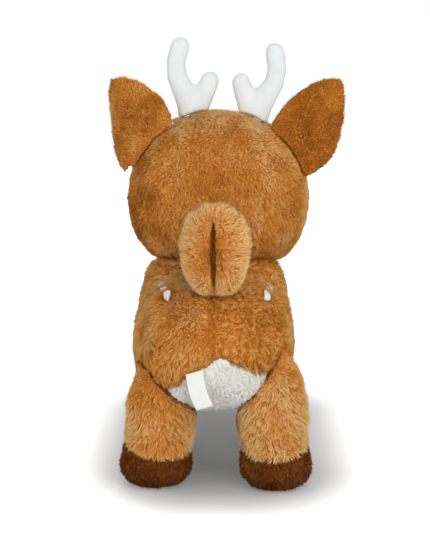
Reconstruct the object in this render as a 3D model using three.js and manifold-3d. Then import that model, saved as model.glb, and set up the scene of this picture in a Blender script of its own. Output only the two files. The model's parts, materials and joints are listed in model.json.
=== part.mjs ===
// Plush deer that stands on four stuffed legs, seen here as its cut and sewn panels, its
// stuffing and its small fittings.
// Millimetres, +Z up. The face looks along -Y and +X is the deer's left. The origin is on the
// ground under the middle of the deer.
import * as THREE from 'three';
import { mergeVertices } from 'three/addons/utils/BufferGeometryUtils.js';
import Module from 'manifold-3d';

const wasm = await Module();
wasm.setup();

// Cloth and clearances
const cloth = {
  fur: 2.6, // long brown pile: knitted backing and the dense root of the pile
  velboa: 1.5, // short white pile of the antlers and the spots
  ribbon: 1, // satin ribbon folded in two
};
const seamGap = 0.3; // between two pieces that touch
const bendGap = 0.45; // between a piece that bends and what it is sewn to
const overrun = 60; // how far a cutting block runs past what it cuts
const bendSteps = 4; // positions of a bend at which the seat of a piece is cut clear

// Torso: a barrel that runs from the rump to the chest and rises into the neck
const torso = {
  length: 208,
  width: 127,
  rise: 55,
  drop: 48,
  middleHeight: 104,
  middleBack: 37, // how far the middle of the torso lies behind the origin
  neckLift: 45, // how far the shoulders rise above the back
  neckStart: 14, // ahead of the middle of the torso, where the neck begins to rise
  neckRun: 34, // over which it reaches its full height
  endPower: 2.7,
  sectionPower: 2.6,
  rings: 10,
  sides: 20,
};
const outlineAside = 12; // of the torso's middle from the middle of the outline, ears and all
const neckHeight = 162; // the flat seam between head and neck
const bellyPanel = {
  peakHeight: 109, // of the pale panel's peak under the tail
  peakAside: 6, // of that peak towards the deer's right
  left: { width: 35, drop: 28 }, // from the middle out, and from the peak down, to the corner
  right: { width: 43, drop: 18 },
  climb: 10, // degrees that the peak climbs from the rump to the chest
};

// Head: a round form, fuller below, with a snout
const head = {
  height: 211, // of its widest place
  insetLength: 28, // of its middle from the front end of the torso
  aside: -3, // of the middle of the torso, as it leans
  halfWidth: 76,
  rise: 75,
  drop: 65,
  front: 68,
  back: 69,
  power: 2.2,
  roll: 3.5, // degrees that the head leans to the deer's right
  rings: 10,
  sides: 20,
};
const gusset = { backHalfWidth: 46, frontHalfWidth: 15, lowestAhead: 22 };
const snout = {
  aheadLength: 58, // of the middle of the head
  dropHeight: 15,
  halfWidth: 33,
  rise: 26,
  drop: 25,
  reach: 43,
  power: 2.1,
  rings: 8,
  sides: 16,
};
const nose = { halfWidth: 12, rise: 7.5, reach: 7, inFront: 37, above: 11, rings: 4, sides: 10 };
const mouth = { thread: 0.8, lift: 0.6, halfWidth: 13, drop: 9, smile: 4, below: 4, steps: 6, sides: 4 };
const eye = {
  radius: 7.5,
  height: 5,
  shank: 2,
  shankLength: 11,
  washerRadius: 8.5,
  washerThickness: 1.6,
  sides: 10,
  steps: 6,
  seatShare: 0.94, // radius of the flat underside, of the eye's radius
  rimShare: 0.14, // height of the rim under the dome, of the eye's height
  asideShare: 0.62, // direction from the middle of the head, against one straight ahead
  upShare: 0.06,
};

// Ears: a brown back and a pale lining sewn edge to edge
const ear = {
  reach: 71,
  halfWidth: 34,
  cup: 7, // how far the edges curl towards the face
  rimShare: 0.4, // thickness of a panel at its rim, of its thickness in the middle
  rootCupShare: 0.25, // how far along its growth the cup already is at the root
  sideDirection: 49, // degrees from the top of the head down to the ear's root
  lean: 35, // degrees that the ear points away from straight up
  hinge: 22, // degrees between the root seam and square to the ear
  setBack: 20,
  range: [-30, 30],
  rings: 7,
  across: 5,
};
// Degrees that each ear turns up from its lean, and nods towards the face about its root seam
const earPoses = { left: { twist: -9, nod: 33 }, right: { twist: 3, nod: 0 } };
// Rows from the root to the tip: lower edge across and along, upper edge across and along
const earOutlineShares = [
  [0, 0.62, -0.34, -0.62, -0.12],
  [0.15, 0.86, -0.11, -0.75, 0.1],
  [0.3, 1, 0.08, -0.78, 0.28],
  [0.5, 0.93, 0.34, -0.69, 0.5],
  [0.7, 0.68, 0.6, -0.5, 0.75],
  [0.85, 0.44, 0.8, -0.3, 0.89],
  [0.95, 0.21, 0.93, -0.12, 0.97],
  [1, 0.03, 1, 0.03, 1],
];

// Antlers: a main beam and one short inner tine
const antler = {
  height: 58,
  asideWidth: 25, // of the middle of the head
  aheadLength: 2,
  seatHeight: 70, // of the root above the middle of the head
  beamRadius: 9.4,
  rootRadius: 13.6,
  tineRadius: 9.2,
  tineRoot: 10.6,
  taperShares: [0.15, 0.75], // of the beam's length, over which the root narrows to the beam
  thicknessShare: 0.8,
  rootDepth: 14, // how far the raw form runs down before its seat is cut
  range: [-15, 15],
  steps: 6,
  tipSteps: 2,
  sides: 8,
};
// Middle line from the root up, outwards and upwards, of the antler's height
const beamLineShares = [[0.01, 0], [0.1, 0.25], [0.225, 0.44], [0.3, 0.62], [0.3, 0.84], [0.26, 0.985]];
const tineLineShares = [[-0.03, 0.04], [-0.09, 0.22], [-0.155, 0.384], [-0.2, 0.52]];

// Legs: [half width, half depth, how far forward] at shares of the height, of the leg's sizes
const leg = {
  height: 118,
  hoofSeam: 33, // of the seam above the hoof, at its middle
  hoofSlope: 14, // degrees that the seam climbs towards the toe
  rings: 6,
  sides: 10,
  ringPower: 1.3, // draws the rings together towards the hoof
};
const legShares = [
  [0, 0.8, 0.8, 0.1],
  [0.03, 0.94, 0.93, 0.1],
  [0.09, 1.02, 1.04, 0.1],
  [0.2, 1.02, 1.02, 0.06],
  [0.36, 0.96, 0.95, 0],
  [0.52, 0.98, 0.97, 0],
  [0.7, 0.93, 1, 0],
  [0.88, 0.72, 0.76, 0],
  [1, 0.3, 0.3, 0],
];
const hindLeg = { halfWidth: 28.5, halfDepth: 31 };
const frontLeg = { halfWidth: 25, halfDepth: 27 };
// Each leg's middle is inset from the end and the side of the torso, and its top leans inwards and ahead
const legs = [
  {
    name: 'hind_left',
    size: hindLeg,
    end: 1,
    side: 1,
    insetLength: 38,
    insetWidth: 17,
    leanWidth: 13,
    leanLength: 7,
    toe: 22,
  },
  {
    name: 'hind_right',
    size: hindLeg,
    end: 1,
    side: -1,
    insetLength: 30,
    insetWidth: 12.5,
    leanWidth: 7,
    leanLength: 15,
    toe: -8,
  },
  {
    name: 'front_left',
    size: frontLeg,
    end: -1,
    side: 1,
    insetLength: 42,
    insetWidth: 17.5,
    leanWidth: 7,
    leanLength: 0,
    toe: 8,
  },
  {
    name: 'front_right',
    size: frontLeg,
    end: -1,
    side: -1,
    insetLength: 42,
    insetWidth: 17.5,
    leanWidth: 7,
    leanLength: 0,
    toe: -8,
  },
];

// Tail: two plump lobes folded about a groove, standing up on the rump
const tail = {
  height: 75,
  halfWidth: 26.5,
  halfDepth: 14,
  aside: -2,
  grooveShare: 0.7, // depth of the groove, of the half depth
  grooveWidth: 5.5,
  insetLength: 37, // of the root from the back end of the torso
  seatHeight: 150.5,
  lean: 8, // degrees away from the head
  rootDepth: 12,
  range: [-15, 55],
  rings: 7,
  sides: 14,
};

// Ribbon label, sewn into the seam of the pale panel and hanging over it
const label = {
  width: 13.5,
  length: 29,
  aside: 14,
  top: 99,
  slant: 17, // degrees towards the deer's right
  hang: 5, // degrees that it hangs away from straight down
  bow: 1.6,
  steps: 6,
};

// Pale spots sewn on the back, three each side
const spot = { length: 15, width: 8, points: 10, taperPower: 1.4 };
const spotPlaces = {
  left: [
    { aside: 36, back: 55, turn: 8 },
    { aside: 40, back: 32, turn: 4 },
    { aside: 43, back: 9, turn: 0 },
  ],
  right: [
    { aside: 42.5, back: 46, turn: 12 },
    { aside: 45, back: 24, turn: 6 },
    { aside: 46.5, back: 2, turn: 0 },
  ],
};

const colours = {
  brownFur: 0xb5763a,
  creamFur: 0xe6dccb,
  hoofFur: 0x4e2a14,
  whiteVelboa: 0xf1f1ef,
  whiteSatin: 0xf4f4f2,
  fibre: 0xf3f1ec,
  eyePlastic: 0x120d0b,
  washerPlastic: 0xe9e7e0,
  noseVelboa: 0x3b2218,
  thread: 0x3a2015,
};
const roughnesses = {
  longPile: 0.95,
  shortPile: 0.85,
  fibre: 1,
  satin: 0.4,
  plastic: 0.5,
  eye: 0.15,
  thread: 0.7,
};

const degrees = Math.PI / 180;
const across = new THREE.Vector3(1, 0, 0);
const backwards = new THREE.Vector3(0, 1, 0);
const up = new THREE.Vector3(0, 0, 1);

// Closed skin over a row of rings, ending in a point at each end
function loft(rings, poles = [middleOf(rings[0]), middleOf(rings[rings.length - 1])]) {
  const sides = rings[0].length;
  const points = [...rings.flat(), ...poles];
  const index = [];
  for (let row = 0; row + 1 < rings.length; row += 1) {
    for (let side = 0; side < sides; side += 1) {
      const next = (side + 1) % sides;
      const a = row * sides + side;
      const b = row * sides + next;
      index.push(a, b, b + sides, a, b + sides, a + sides);
    }
  }
  const start = rings.length * sides;
  const lastRow = (rings.length - 1) * sides;
  for (let side = 0; side < sides; side += 1) {
    const next = (side + 1) % sides;
    index.push(start, next, side, start + 1, lastRow + side, lastRow + next);
  }
  const geometry = new THREE.BufferGeometry().setFromPoints(points);
  geometry.setIndex(index);
  return facingOut(geometry);
}

function middleOf(points) {
  const sum = new THREE.Vector3();
  points.forEach((point) => sum.add(point));
  return sum.divideScalar(points.length);
}

// Turns every triangle over where the skin has been wound inside out
function facingOut(geometry) {
  const index = geometry.getIndex().array;
  const corners = [0, 1, 2].map(() => new THREE.Vector3());
  let volume = 0;
  for (let i = 0; i < index.length; i += 3) {
    corners.forEach((corner, k) => corner.fromBufferAttribute(geometry.attributes.position, index[i + k]));
    volume += corners[0].dot(corners[1].clone().cross(corners[2]));
  }
  if (volume < 0) {
    for (let i = 0; i < index.length; i += 3) [index[i], index[i + 1]] = [index[i + 1], index[i]];
  }
  return geometry;
}

// The same skin moved inwards by a depth, or outwards by a negative one
function inset(geometry, depth) {
  const skin = mergeVertices(geometry.clone());
  skin.computeVertexNormals();
  const { position, normal } = skin.attributes;
  for (let i = 0; i < position.count; i += 1) {
    position.setXYZ(
      i,
      position.getX(i) - normal.getX(i) * depth,
      position.getY(i) - normal.getY(i) * depth,
      position.getZ(i) - normal.getZ(i) * depth,
    );
  }
  return skin;
}

// Where a line from a form's middle leaves its skin
function throughSkin(geometry, from, direction) {
  const skin = new THREE.Mesh(geometry, new THREE.MeshBasicMaterial({ side: THREE.DoubleSide }));
  const ray = new THREE.Raycaster(from, direction.clone().normalize());
  return ray.intersectObject(skin).pop().point;
}

function solidOf(geometry, matrix = new THREE.Matrix4()) {
  const bare = geometry.clone().applyMatrix4(matrix);
  bare.deleteAttribute('normal');
  bare.deleteAttribute('uv');
  const merged = mergeVertices(bare);
  return new wasm.Manifold(new wasm.Mesh({
    numProp: 3,
    vertProperties: Float32Array.from(merged.attributes.position.array),
    triVerts: Uint32Array.from(merged.getIndex().array),
  }));
}

function geometryOf(solid) {
  const { vertProperties, triVerts } = solid.getMesh();
  const geometry = new THREE.BufferGeometry();
  geometry.setAttribute('position', new THREE.BufferAttribute(vertProperties, 3));
  geometry.setIndex(new THREE.BufferAttribute(triVerts, 1));
  return geometry;
}

// Block between two corners
function block(low, high, matrix) {
  const size = new THREE.Vector3().subVectors(high, low);
  const box = new THREE.BoxGeometry(size.x, size.y, size.z);
  box.translate(...new THREE.Vector3().addVectors(low, high).multiplyScalar(1 / 2).toArray());
  return solidOf(box, matrix);
}

const reach = torso.length + head.front + snout.reach + overrun; // past every piece

// Everything on one side of a plane square to an axis: keep is +1 above it and -1 below it
function beyond(axis, level, keep, matrix) {
  const low = new THREE.Vector3(-reach, -reach, -reach);
  const high = new THREE.Vector3(reach, reach, reach);
  if (keep > 0) low[axis] = level;
  else high[axis] = level;
  return block(low, high, matrix);
}

// Smooth values between rows of shares whose first column is the place along the form
function blendRows(shareRows, place) {
  const last = shareRows.length - 1;
  let at = 0;
  while (at < last - 1 && place > shareRows[at + 1][0]) at += 1;
  const before = shareRows[Math.max(at - 1, 0)];
  const from = shareRows[at];
  const to = shareRows[at + 1];
  const after = shareRows[Math.min(at + 2, last)];
  const span = to[0] - from[0];
  const t = (place - from[0]) / span;
  return from.map((value, column) => {
    const leaving = ((to[column] - before[column]) / (to[0] - before[0])) * span;
    const arriving = ((after[column] - value) / (after[0] - from[0])) * span;
    return value * (2 * t ** 3 - 3 * t ** 2 + 1) + leaving * (t ** 3 - 2 * t ** 2 + t)
      + to[column] * (3 * t ** 2 - 2 * t ** 3) + arriving * (t ** 3 - t ** 2);
  });
}

const rounded = (value, power) => Math.sign(value) * Math.abs(value) ** (2 / power);
const shares = (count) => Array.from({ length: count }, (_, i) => (i + 1) / (count + 1));
const turns = (count) => Array.from({ length: count }, (_, i) => (i / count) * 2 * Math.PI);

// Round form about its middle, with its own reach in each direction
function oval(form) {
  const reachAlong = (direction) => {
    const halves = {
      x: form.halfWidth,
      y: direction.y > 0 ? form.back ?? form.reach : form.front ?? form.reach,
      z: direction.z > 0 ? form.rise : form.drop ?? form.rise,
    };
    const sum = Object.keys(halves).reduce(
      (total, key) => total + Math.abs(direction[key] / halves[key]) ** (form.power ?? 2),
      0,
    );
    return sum ** (-1 / (form.power ?? 2));
  };
  const pointAt = (direction) => direction.clone().normalize().multiplyScalar(
    reachAlong(direction.clone().normalize()),
  );
  const rings = shares(form.rings).map((share) => turns(form.sides).map((turn) => pointAt(
    new THREE.Vector3().setFromSphericalCoords(1, share * Math.PI, turn).applyAxisAngle(across, Math.PI / 2),
  )));
  return { geometry: loft(rings, [pointAt(up), pointAt(up.clone().negate())]), pointAt };
}

// Tube along a line of points, with its own radius at each share of the line and a round tip
function limb(line, radiusAt, form) {
  const curve = new THREE.CatmullRomCurve3(line, false, 'centripetal');
  const ringAt = (centre, along, radius) => {
    const side = new THREE.Vector3().crossVectors(backwards, along).normalize();
    return turns(form.sides).map((turn) => centre.clone()
      .addScaledVector(side, radius * Math.cos(turn))
      .addScaledVector(backwards, radius * (form.thicknessShare ?? 1) * Math.sin(turn)));
  };
  const rings = [];
  for (let step = 0; step <= form.steps; step += 1) {
    const share = step / form.steps;
    rings.push(ringAt(curve.getPointAt(share), curve.getTangentAt(share), radiusAt(share)));
  }
  const tip = curve.getPointAt(1);
  const ahead = curve.getTangentAt(1);
  const tipRadius = radiusAt(1);
  shares(form.tipSteps).forEach((share) => {
    const lift = (share * Math.PI) / 2;
    const centre = tip.clone().addScaledVector(ahead, tipRadius * Math.sin(lift));
    rings.push(ringAt(centre, ahead, tipRadius * Math.cos(lift)));
  });
  const end = tip.clone().addScaledVector(ahead, tipRadius);
  return loft(rings, [middleOf(rings[0]), end]);
}

// Cuts a piece clear of its seat at every position of its bend about a hinge at the origin
function clearOfSeat(piece, seat, axis, range) {
  let cut = piece;
  for (let step = 0; step <= bendSteps; step += 1) {
    const angle = -(range[0] + ((range[1] - range[0]) * step) / bendSteps) * degrees;
    cut = cut.subtract(solidOf(seat, new THREE.Matrix4().makeRotationAxis(axis, angle)));
  }
  return cut;
}

function moved(geometry, matrix) {
  return geometry.clone().applyMatrix4(matrix);
}

function named(name, solid, colour, roughness) {
  const material = new THREE.MeshStandardMaterial({ color: colour, roughness, metalness: 0 });
  const mesh = new THREE.Mesh(geometryOf(solid), material);
  mesh.name = name;
  return mesh;
}

const furPiece = (name, solid) => named(name, solid, colours.brownFur, roughnesses.longPile);
const creamPiece = (name, solid) => named(name, solid, colours.creamFur, roughnesses.longPile);
const hoofPiece = (name, solid) => named(name, solid, colours.hoofFur, roughnesses.longPile);
const velboaPiece = (name, solid) => named(name, solid, colours.whiteVelboa, roughnesses.shortPile);
const fibrePiece = (name, solid) => named(name, solid, colours.fibre, roughnesses.fibre);

// Outer skin, backing and stuffing of a sewn form
function layers(geometry, thickness) {
  const outside = solidOf(geometry);
  return {
    cover: outside.subtract(solidOf(inset(geometry, thickness))),
    core: solidOf(inset(geometry, thickness + seamGap)),
  };
}

function torsoGeometry() {
  const neckShare = (y) => {
    const t = (-torso.neckStart - y) / torso.neckRun;
    return THREE.MathUtils.smootherstep(t, 0, 1);
  };
  const ringAt = (share) => {
    const y = (torso.length / 2) * Math.cos(share * Math.PI);
    const fullness = (1 - Math.abs(Math.cos(share * Math.PI)) ** torso.endPower) ** (1 / torso.endPower);
    return turns(torso.sides).map((turn) => {
      const lift = Math.sin(turn) > 0 ? torso.rise + torso.neckLift * neckShare(y) : torso.drop;
      return new THREE.Vector3(
        (torso.width / 2) * fullness * rounded(Math.cos(turn), torso.sectionPower),
        y,
        lift * fullness * rounded(Math.sin(turn), torso.sectionPower),
      );
    });
  };
  const ends = [1, -1].map((end) => new THREE.Vector3(0, (end * torso.length) / 2, 0));
  return loft(shares(torso.rings).map(ringAt), ends).translate(0, torso.middleBack, torso.middleHeight);
}

const torsoSkin = torsoGeometry();

// Region of the pale panel: a roof shape that runs the length of the torso
function bellyRegion(grow) {
  const { left, right, peakAside } = bellyPanel;
  const outline = new THREE.Shape([
    new THREE.Vector2(-right.width - grow, -reach),
    new THREE.Vector2(left.width + grow, -reach),
    new THREE.Vector2(left.width + grow, -left.drop + grow),
    new THREE.Vector2(-peakAside, grow),
    new THREE.Vector2(-right.width - grow, -right.drop + grow),
  ]);
  const prism = new THREE.ExtrudeGeometry(outline, { depth: 2 * reach, bevelEnabled: false });
  prism.translate(0, 0, -reach);
  const even = peakAside / torso.length; // brings the peak to the middle by the chest
  prism.applyMatrix4(new THREE.Matrix4().makeShear(0, 0, 0, 0, even, 0));
  const rump = new THREE.Vector3(0, torso.middleBack + torso.length / 2, bellyPanel.peakHeight);
  const tilt = new THREE.Matrix4().makeRotationX(Math.PI / 2 - bellyPanel.climb * degrees);
  return solidOf(prism, new THREE.Matrix4().setPosition(rump).multiply(tilt));
}

function makeTorso() {
  const group = new THREE.Group();
  const { cover, core } = layers(torsoSkin, cloth.fur);
  const belowNeck = beyond('z', neckHeight - seamGap / 2, -1);
  const skin = cover.intersect(belowNeck);
  const back = skin.subtract(bellyRegion(seamGap));
  group.add(
    furPiece('body_panel_left', back.intersect(beyond('x', seamGap / 2, 1))),
    furPiece('body_panel_right', back.intersect(beyond('x', -seamGap / 2, -1))),
    creamPiece('belly_panel', skin.intersect(bellyRegion(0))),
    fibrePiece('body_stuffing', core.intersect(belowNeck)),
  );
  return group;
}

// Teardrop outline lying along the back
function spotShape() {
  const outline = turns(spot.points).map((turn) => new THREE.Vector2(
    (spot.width / 2) * Math.sin(turn) * Math.sin(turn / 2) ** spot.taperPower,
    (spot.length / 2) * Math.cos(turn),
  ));
  return new THREE.Shape(outline);
}

function makeSpots() {
  const group = new THREE.Group();
  const outside = solidOf(inset(torsoSkin, -seamGap - cloth.velboa));
  const shell = outside.subtract(solidOf(inset(torsoSkin, -seamGap)));
  ['left', 'right'].forEach((sideName, sideIndex) => {
    const side = sideIndex ? -1 : 1;
    spotPlaces[sideName].forEach((place, order) => {
      const prism = new THREE.ExtrudeGeometry(spotShape(), { depth: reach, bevelEnabled: false });
      prism.rotateZ(side * place.turn * degrees);
      prism.translate(side * place.aside, torso.middleBack + place.back, torso.middleHeight);
      group.add(velboaPiece(`spot_${sideName}_${order + 1}`, shell.intersect(solidOf(prism))));
    });
  });
  return group;
}

function legGeometry(size, depth, bottom) {
  const rings = [];
  const ringAt = (share, height) => {
    const [, widthShare, depthShare, forwardShare] = blendRows(legShares, share);
    return turns(leg.sides).map((turn) => new THREE.Vector3(
      (size.halfWidth * widthShare - depth) * Math.cos(turn),
      (size.halfDepth * depthShare - depth) * Math.sin(turn) - size.halfDepth * forwardShare,
      height,
    ));
  };
  if (bottom < 0) rings.push(ringAt(0, bottom));
  for (let row = 0; row <= leg.rings; row += 1) {
    const share = (row / leg.rings) ** leg.ringPower;
    rings.push(ringAt(share, leg.height * share));
  }
  return loft(rings);
}

function makeLeg({ name, size, end, side, insetLength, insetWidth, leanWidth, leanLength, toe }) {
  const group = new THREE.Group();
  const back = torso.middleBack + end * (torso.length / 2 - insetLength);
  group.position.set(side * (torso.width / 2 - insetWidth), back, 0);
  group.rotation.set(0, 0, toe * degrees);
  group.updateMatrix();
  const lean = new THREE.Matrix4().makeShear(
    0,
    0,
    0,
    0,
    (-side * leanWidth) / leg.height,
    (-end * leanLength) / leg.height,
  );
  const seatMatrix = group.matrix.clone().invert();
  const torsoSeat = solidOf(inset(torsoSkin, -seamGap), seatMatrix);
  const outer = solidOf(legGeometry(size, 0, 0), lean);
  const lining = solidOf(legGeometry(size, cloth.fur, -overrun), lean);
  const core = solidOf(legGeometry(size, cloth.fur + seamGap, -overrun), lean);
  const seamPlane = (level, keep) => beyond(
    'z',
    0,
    keep,
    new THREE.Matrix4().makeTranslation(0, 0, level).multiply(
      new THREE.Matrix4().makeRotationX(-leg.hoofSlope * degrees),
    ),
  );
  const floor = cloth.fur + seamGap;
  const skin = outer.subtract(lining).intersect(beyond('z', floor, 1));
  group.add(
    furPiece(`${name}_leg_cover`, skin.intersect(seamPlane(leg.hoofSeam + seamGap, 1)).subtract(torsoSeat)),
    hoofPiece(`${name}_hoof_cover`, skin.intersect(seamPlane(leg.hoofSeam, -1))),
    hoofPiece(`${name}_sole`, outer.intersect(beyond('z', cloth.fur, -1))),
    fibrePiece(`${name}_leg_stuffing`, core.intersect(beyond('z', floor, 1)).subtract(torsoSeat)),
  );
  return group;
}

const headOval = oval(head);
const headMatrix = new THREE.Matrix4()
  .makeTranslation(head.aside, torso.middleBack - torso.length / 2 + head.insetLength, head.height)
  .multiply(new THREE.Matrix4().makeRotationY(-head.roll * degrees));
const snoutMatrix = new THREE.Matrix4().makeTranslation(0, -snout.aheadLength, -snout.dropHeight);
const snoutOval = oval(snout);
const headSeat = inset(headOval.geometry, -seamGap);

// Frame on the head's surface, with its own up along the way out
function onHead(direction) {
  const place = headOval.pointAt(direction);
  const slopes = [across, backwards, up].map((axis) => {
    const aside = headOval.pointAt(place.clone().addScaledVector(axis, seamGap));
    return aside.sub(place);
  });
  const normals = [
    slopes[0].clone().cross(slopes[1]),
    slopes[1].clone().cross(slopes[2]),
    slopes[2].clone().cross(slopes[0]),
  ];
  const normal = normals.reduce((longest, next) => (next.length() > longest.length() ? next : longest));
  normal.normalize();
  if (normal.dot(place) < 0) normal.negate();
  const turn = new THREE.Quaternion().setFromUnitVectors(up, normal);
  return new THREE.Matrix4().compose(place, turn, new THREE.Vector3(1, 1, 1));
}

function eyeMatrix(side) {
  return onHead(new THREE.Vector3(side * eye.asideShare, -1, eye.upShare));
}

// Fall of the faceted head under a washer: from the round surface, and from its middle outwards
const facetTurn = Math.PI / head.sides;
const washerSag = head.halfWidth * (1 - Math.cos(facetTurn)) + eye.washerRadius * Math.tan(facetTurn);
const washerTop = -(cloth.fur + washerSag + seamGap);
const washerFoot = washerTop - eye.washerThickness;

// Domed eye with its post, which runs in through the cloth
function eyeGeometry() {
  const profile = [new THREE.Vector2(0, -eye.shankLength), new THREE.Vector2(eye.shank, -eye.shankLength)];
  profile.push(new THREE.Vector2(eye.shank, seamGap), new THREE.Vector2(eye.radius * eye.seatShare, seamGap));
  for (let step = 0; step <= eye.steps; step += 1) {
    const lift = (step / eye.steps) * (Math.PI / 2);
    profile.push(new THREE.Vector2(
      eye.radius * Math.cos(lift),
      seamGap + eye.height * THREE.MathUtils.lerp(eye.rimShare, 1, Math.sin(lift)),
    ));
  }
  profile[profile.length - 1].x = 0;
  return new THREE.LatheGeometry(profile, eye.sides).rotateX(Math.PI / 2);
}

function ringGeometry(inner, outer, low, high) {
  const profile = [[inner, low], [outer, low], [outer, high], [inner, high], [inner, low]];
  const lathe = new THREE.LatheGeometry(profile.map(([r, z]) => new THREE.Vector2(r, z)), eye.sides);
  return lathe.rotateX(Math.PI / 2);
}

function plug(radius, low, high) {
  const profile = [[0, low], [radius, low], [radius, high], [0, high]];
  const lathe = new THREE.LatheGeometry(profile.map(([r, z]) => new THREE.Vector2(r, z)), eye.sides);
  return lathe.rotateX(Math.PI / 2);
}

// Strip over the middle of the head, wide at the nape and narrow above the snout
function gussetRegion(grow) {
  const back = head.back + overrun;
  const front = head.front + overrun;
  const outline = new THREE.Shape([
    new THREE.Vector2(-gusset.frontHalfWidth - grow, -front),
    new THREE.Vector2(gusset.frontHalfWidth + grow, -front),
    new THREE.Vector2(gusset.backHalfWidth + grow, back),
    new THREE.Vector2(-gusset.backHalfWidth - grow, back),
  ]);
  const prism = new THREE.ExtrudeGeometry(outline, { depth: 2 * reach, bevelEnabled: false });
  const chin = block(
    new THREE.Vector3(-reach, -reach, -reach),
    new THREE.Vector3(reach, -gusset.lowestAhead - grow, -snout.dropHeight - grow),
  );
  return solidOf(prism.translate(0, 0, -reach)).subtract(chin);
}

function makeHead() {
  const group = new THREE.Group();
  group.applyMatrix4(headMatrix);
  const aboveNeck = beyond('z', neckHeight + seamGap / 2, 1, headMatrix.clone().invert());
  const { cover, core } = layers(headOval.geometry, cloth.fur);
  const snoutLining = solidOf(inset(snoutOval.geometry, cloth.fur), snoutMatrix);
  const snoutCore = solidOf(inset(snoutOval.geometry, cloth.fur + seamGap), snoutMatrix);
  const posts = [1, -1].map(eyeMatrix);
  const postHole = plug(eye.shank + seamGap, -eye.shankLength - seamGap, overrun);
  const washerPocket = plug(eye.washerRadius + seamGap, -eye.shankLength - seamGap, overrun);
  let skin = cover.intersect(aboveNeck).subtract(snoutLining);
  const snoutStuffing = snoutCore.subtract(solidOf(inset(headOval.geometry, cloth.fur)));
  let stuffing = core.intersect(aboveNeck);
  posts.forEach((post) => {
    skin = skin.subtract(solidOf(postHole, post));
    stuffing = stuffing.subtract(solidOf(washerPocket, post));
  });
  const sides = skin.subtract(gussetRegion(seamGap));
  const snoutSkin = solidOf(snoutOval.geometry, snoutMatrix).subtract(snoutLining);
  group.add(
    furPiece('head_panel_left', sides.intersect(beyond('x', seamGap / 2, 1))),
    furPiece('head_panel_right', sides.intersect(beyond('x', -seamGap / 2, -1))),
    furPiece('head_gusset', skin.intersect(gussetRegion(0))),
    creamPiece('muzzle_panel', snoutSkin.subtract(solidOf(headSeat)).intersect(aboveNeck)),
    fibrePiece('head_stuffing', stuffing),
    fibrePiece('muzzle_stuffing', snoutStuffing),
    makeNose(),
    makeMouth(),
  );
  ['left', 'right'].forEach((sideName, order) => {
    const dome = named(`eye_${sideName}`, solidOf(eyeGeometry()), colours.eyePlastic, roughnesses.eye);
    const washer = named(
      `eye_washer_${sideName}`,
      solidOf(ringGeometry(eye.shank + seamGap, eye.washerRadius, washerFoot, washerTop)),
      colours.washerPlastic,
      roughnesses.plastic,
    );
    const fitting = new THREE.Group();
    fitting.applyMatrix4(posts[order]);
    fitting.add(dome, washer);
    group.add(fitting, makeEar(sideName), makeAntler(sideName));
  });
  return group;
}

function makeNose() {
  const ahead = snout.aheadLength + nose.inFront;
  const place = new THREE.Matrix4().makeTranslation(0, -ahead, nose.above - snout.dropHeight);
  const pad = solidOf(oval(nose).geometry, place);
  const seated = pad.subtract(solidOf(inset(snoutOval.geometry, -seamGap), snoutMatrix));
  return named('nose', seated, colours.noseVelboa, roughnesses.shortPile);
}

// Embroidered mouth: a short line down from the nose into a wide curve
function makeMouth() {
  const height = mouth.thread + mouth.lift;
  const onSnout = (x, z) => {
    const direction = new THREE.Vector3(x, -snout.reach, z);
    const place = throughSkin(snoutOval.geometry, new THREE.Vector3(), direction);
    return place.add(direction.clone().normalize().multiplyScalar(height)).applyMatrix4(snoutMatrix);
  };
  const row = (count, at) => Array.from({ length: count + 1 }, (_, i) => onSnout(...at(i / count)));
  const curve = row(mouth.steps, (share) => {
    const x = mouth.halfWidth * (2 * share - 1);
    return [x, -mouth.drop + mouth.smile * (x / mouth.halfWidth) ** 2];
  });
  const drop = row(mouth.steps / 2, (share) => [0, mouth.below - share * (mouth.below + mouth.drop)]);
  const strand = (points) => {
    const path = new THREE.CatmullRomCurve3(points);
    const section = new THREE.Shape(turns(mouth.sides).map(
      (turn) => new THREE.Vector2(mouth.thread * Math.cos(turn), mouth.thread * Math.sin(turn)),
    ));
    const options = { steps: mouth.steps, bevelEnabled: false, extrudePath: path };
    return solidOf(new THREE.ExtrudeGeometry(section, options));
  };
  return named('mouth_stitch', strand(curve).add(strand(drop)), colours.thread, roughnesses.thread);
}

function earPanelGeometry(side, layer) {
  const ringAt = (share) => {
    const [, lowX, lowZ, highX, highZ] = blendRows(earOutlineShares, share);
    const low = new THREE.Vector3(side * lowX * ear.halfWidth, 0, lowZ * ear.reach);
    const high = new THREE.Vector3(side * highX * ear.halfWidth, 0, highZ * ear.reach);
    const pointAt = (acrossShare, outer) => {
      const from = 2 * acrossShare - 1;
      const thickness = cloth.fur * (ear.rimShare + (1 - ear.rimShare) * Math.sqrt(1 - from ** 4));
      const cup = -ear.cup * from ** 2 * Math.sin(Math.min(share + ear.rootCupShare, 1) * (Math.PI / 2));
      const point = new THREE.Vector3().lerpVectors(low, high, acrossShare);
      point.y = cup + layer * (seamGap / 2 + (outer ? thickness : 0));
      return point;
    };
    const steps = Array.from({ length: ear.across + 1 }, (_, i) => i / ear.across);
    return [...steps.map((s) => pointAt(s, true)), ...steps.reverse().map((s) => pointAt(s, false))];
  };
  const rows = Array.from({ length: ear.rings }, (_, i) => i / ear.rings);
  return loft(rows.map(ringAt), [middleOf(ringAt(0)), middleOf(ringAt(1))]);
}

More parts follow.
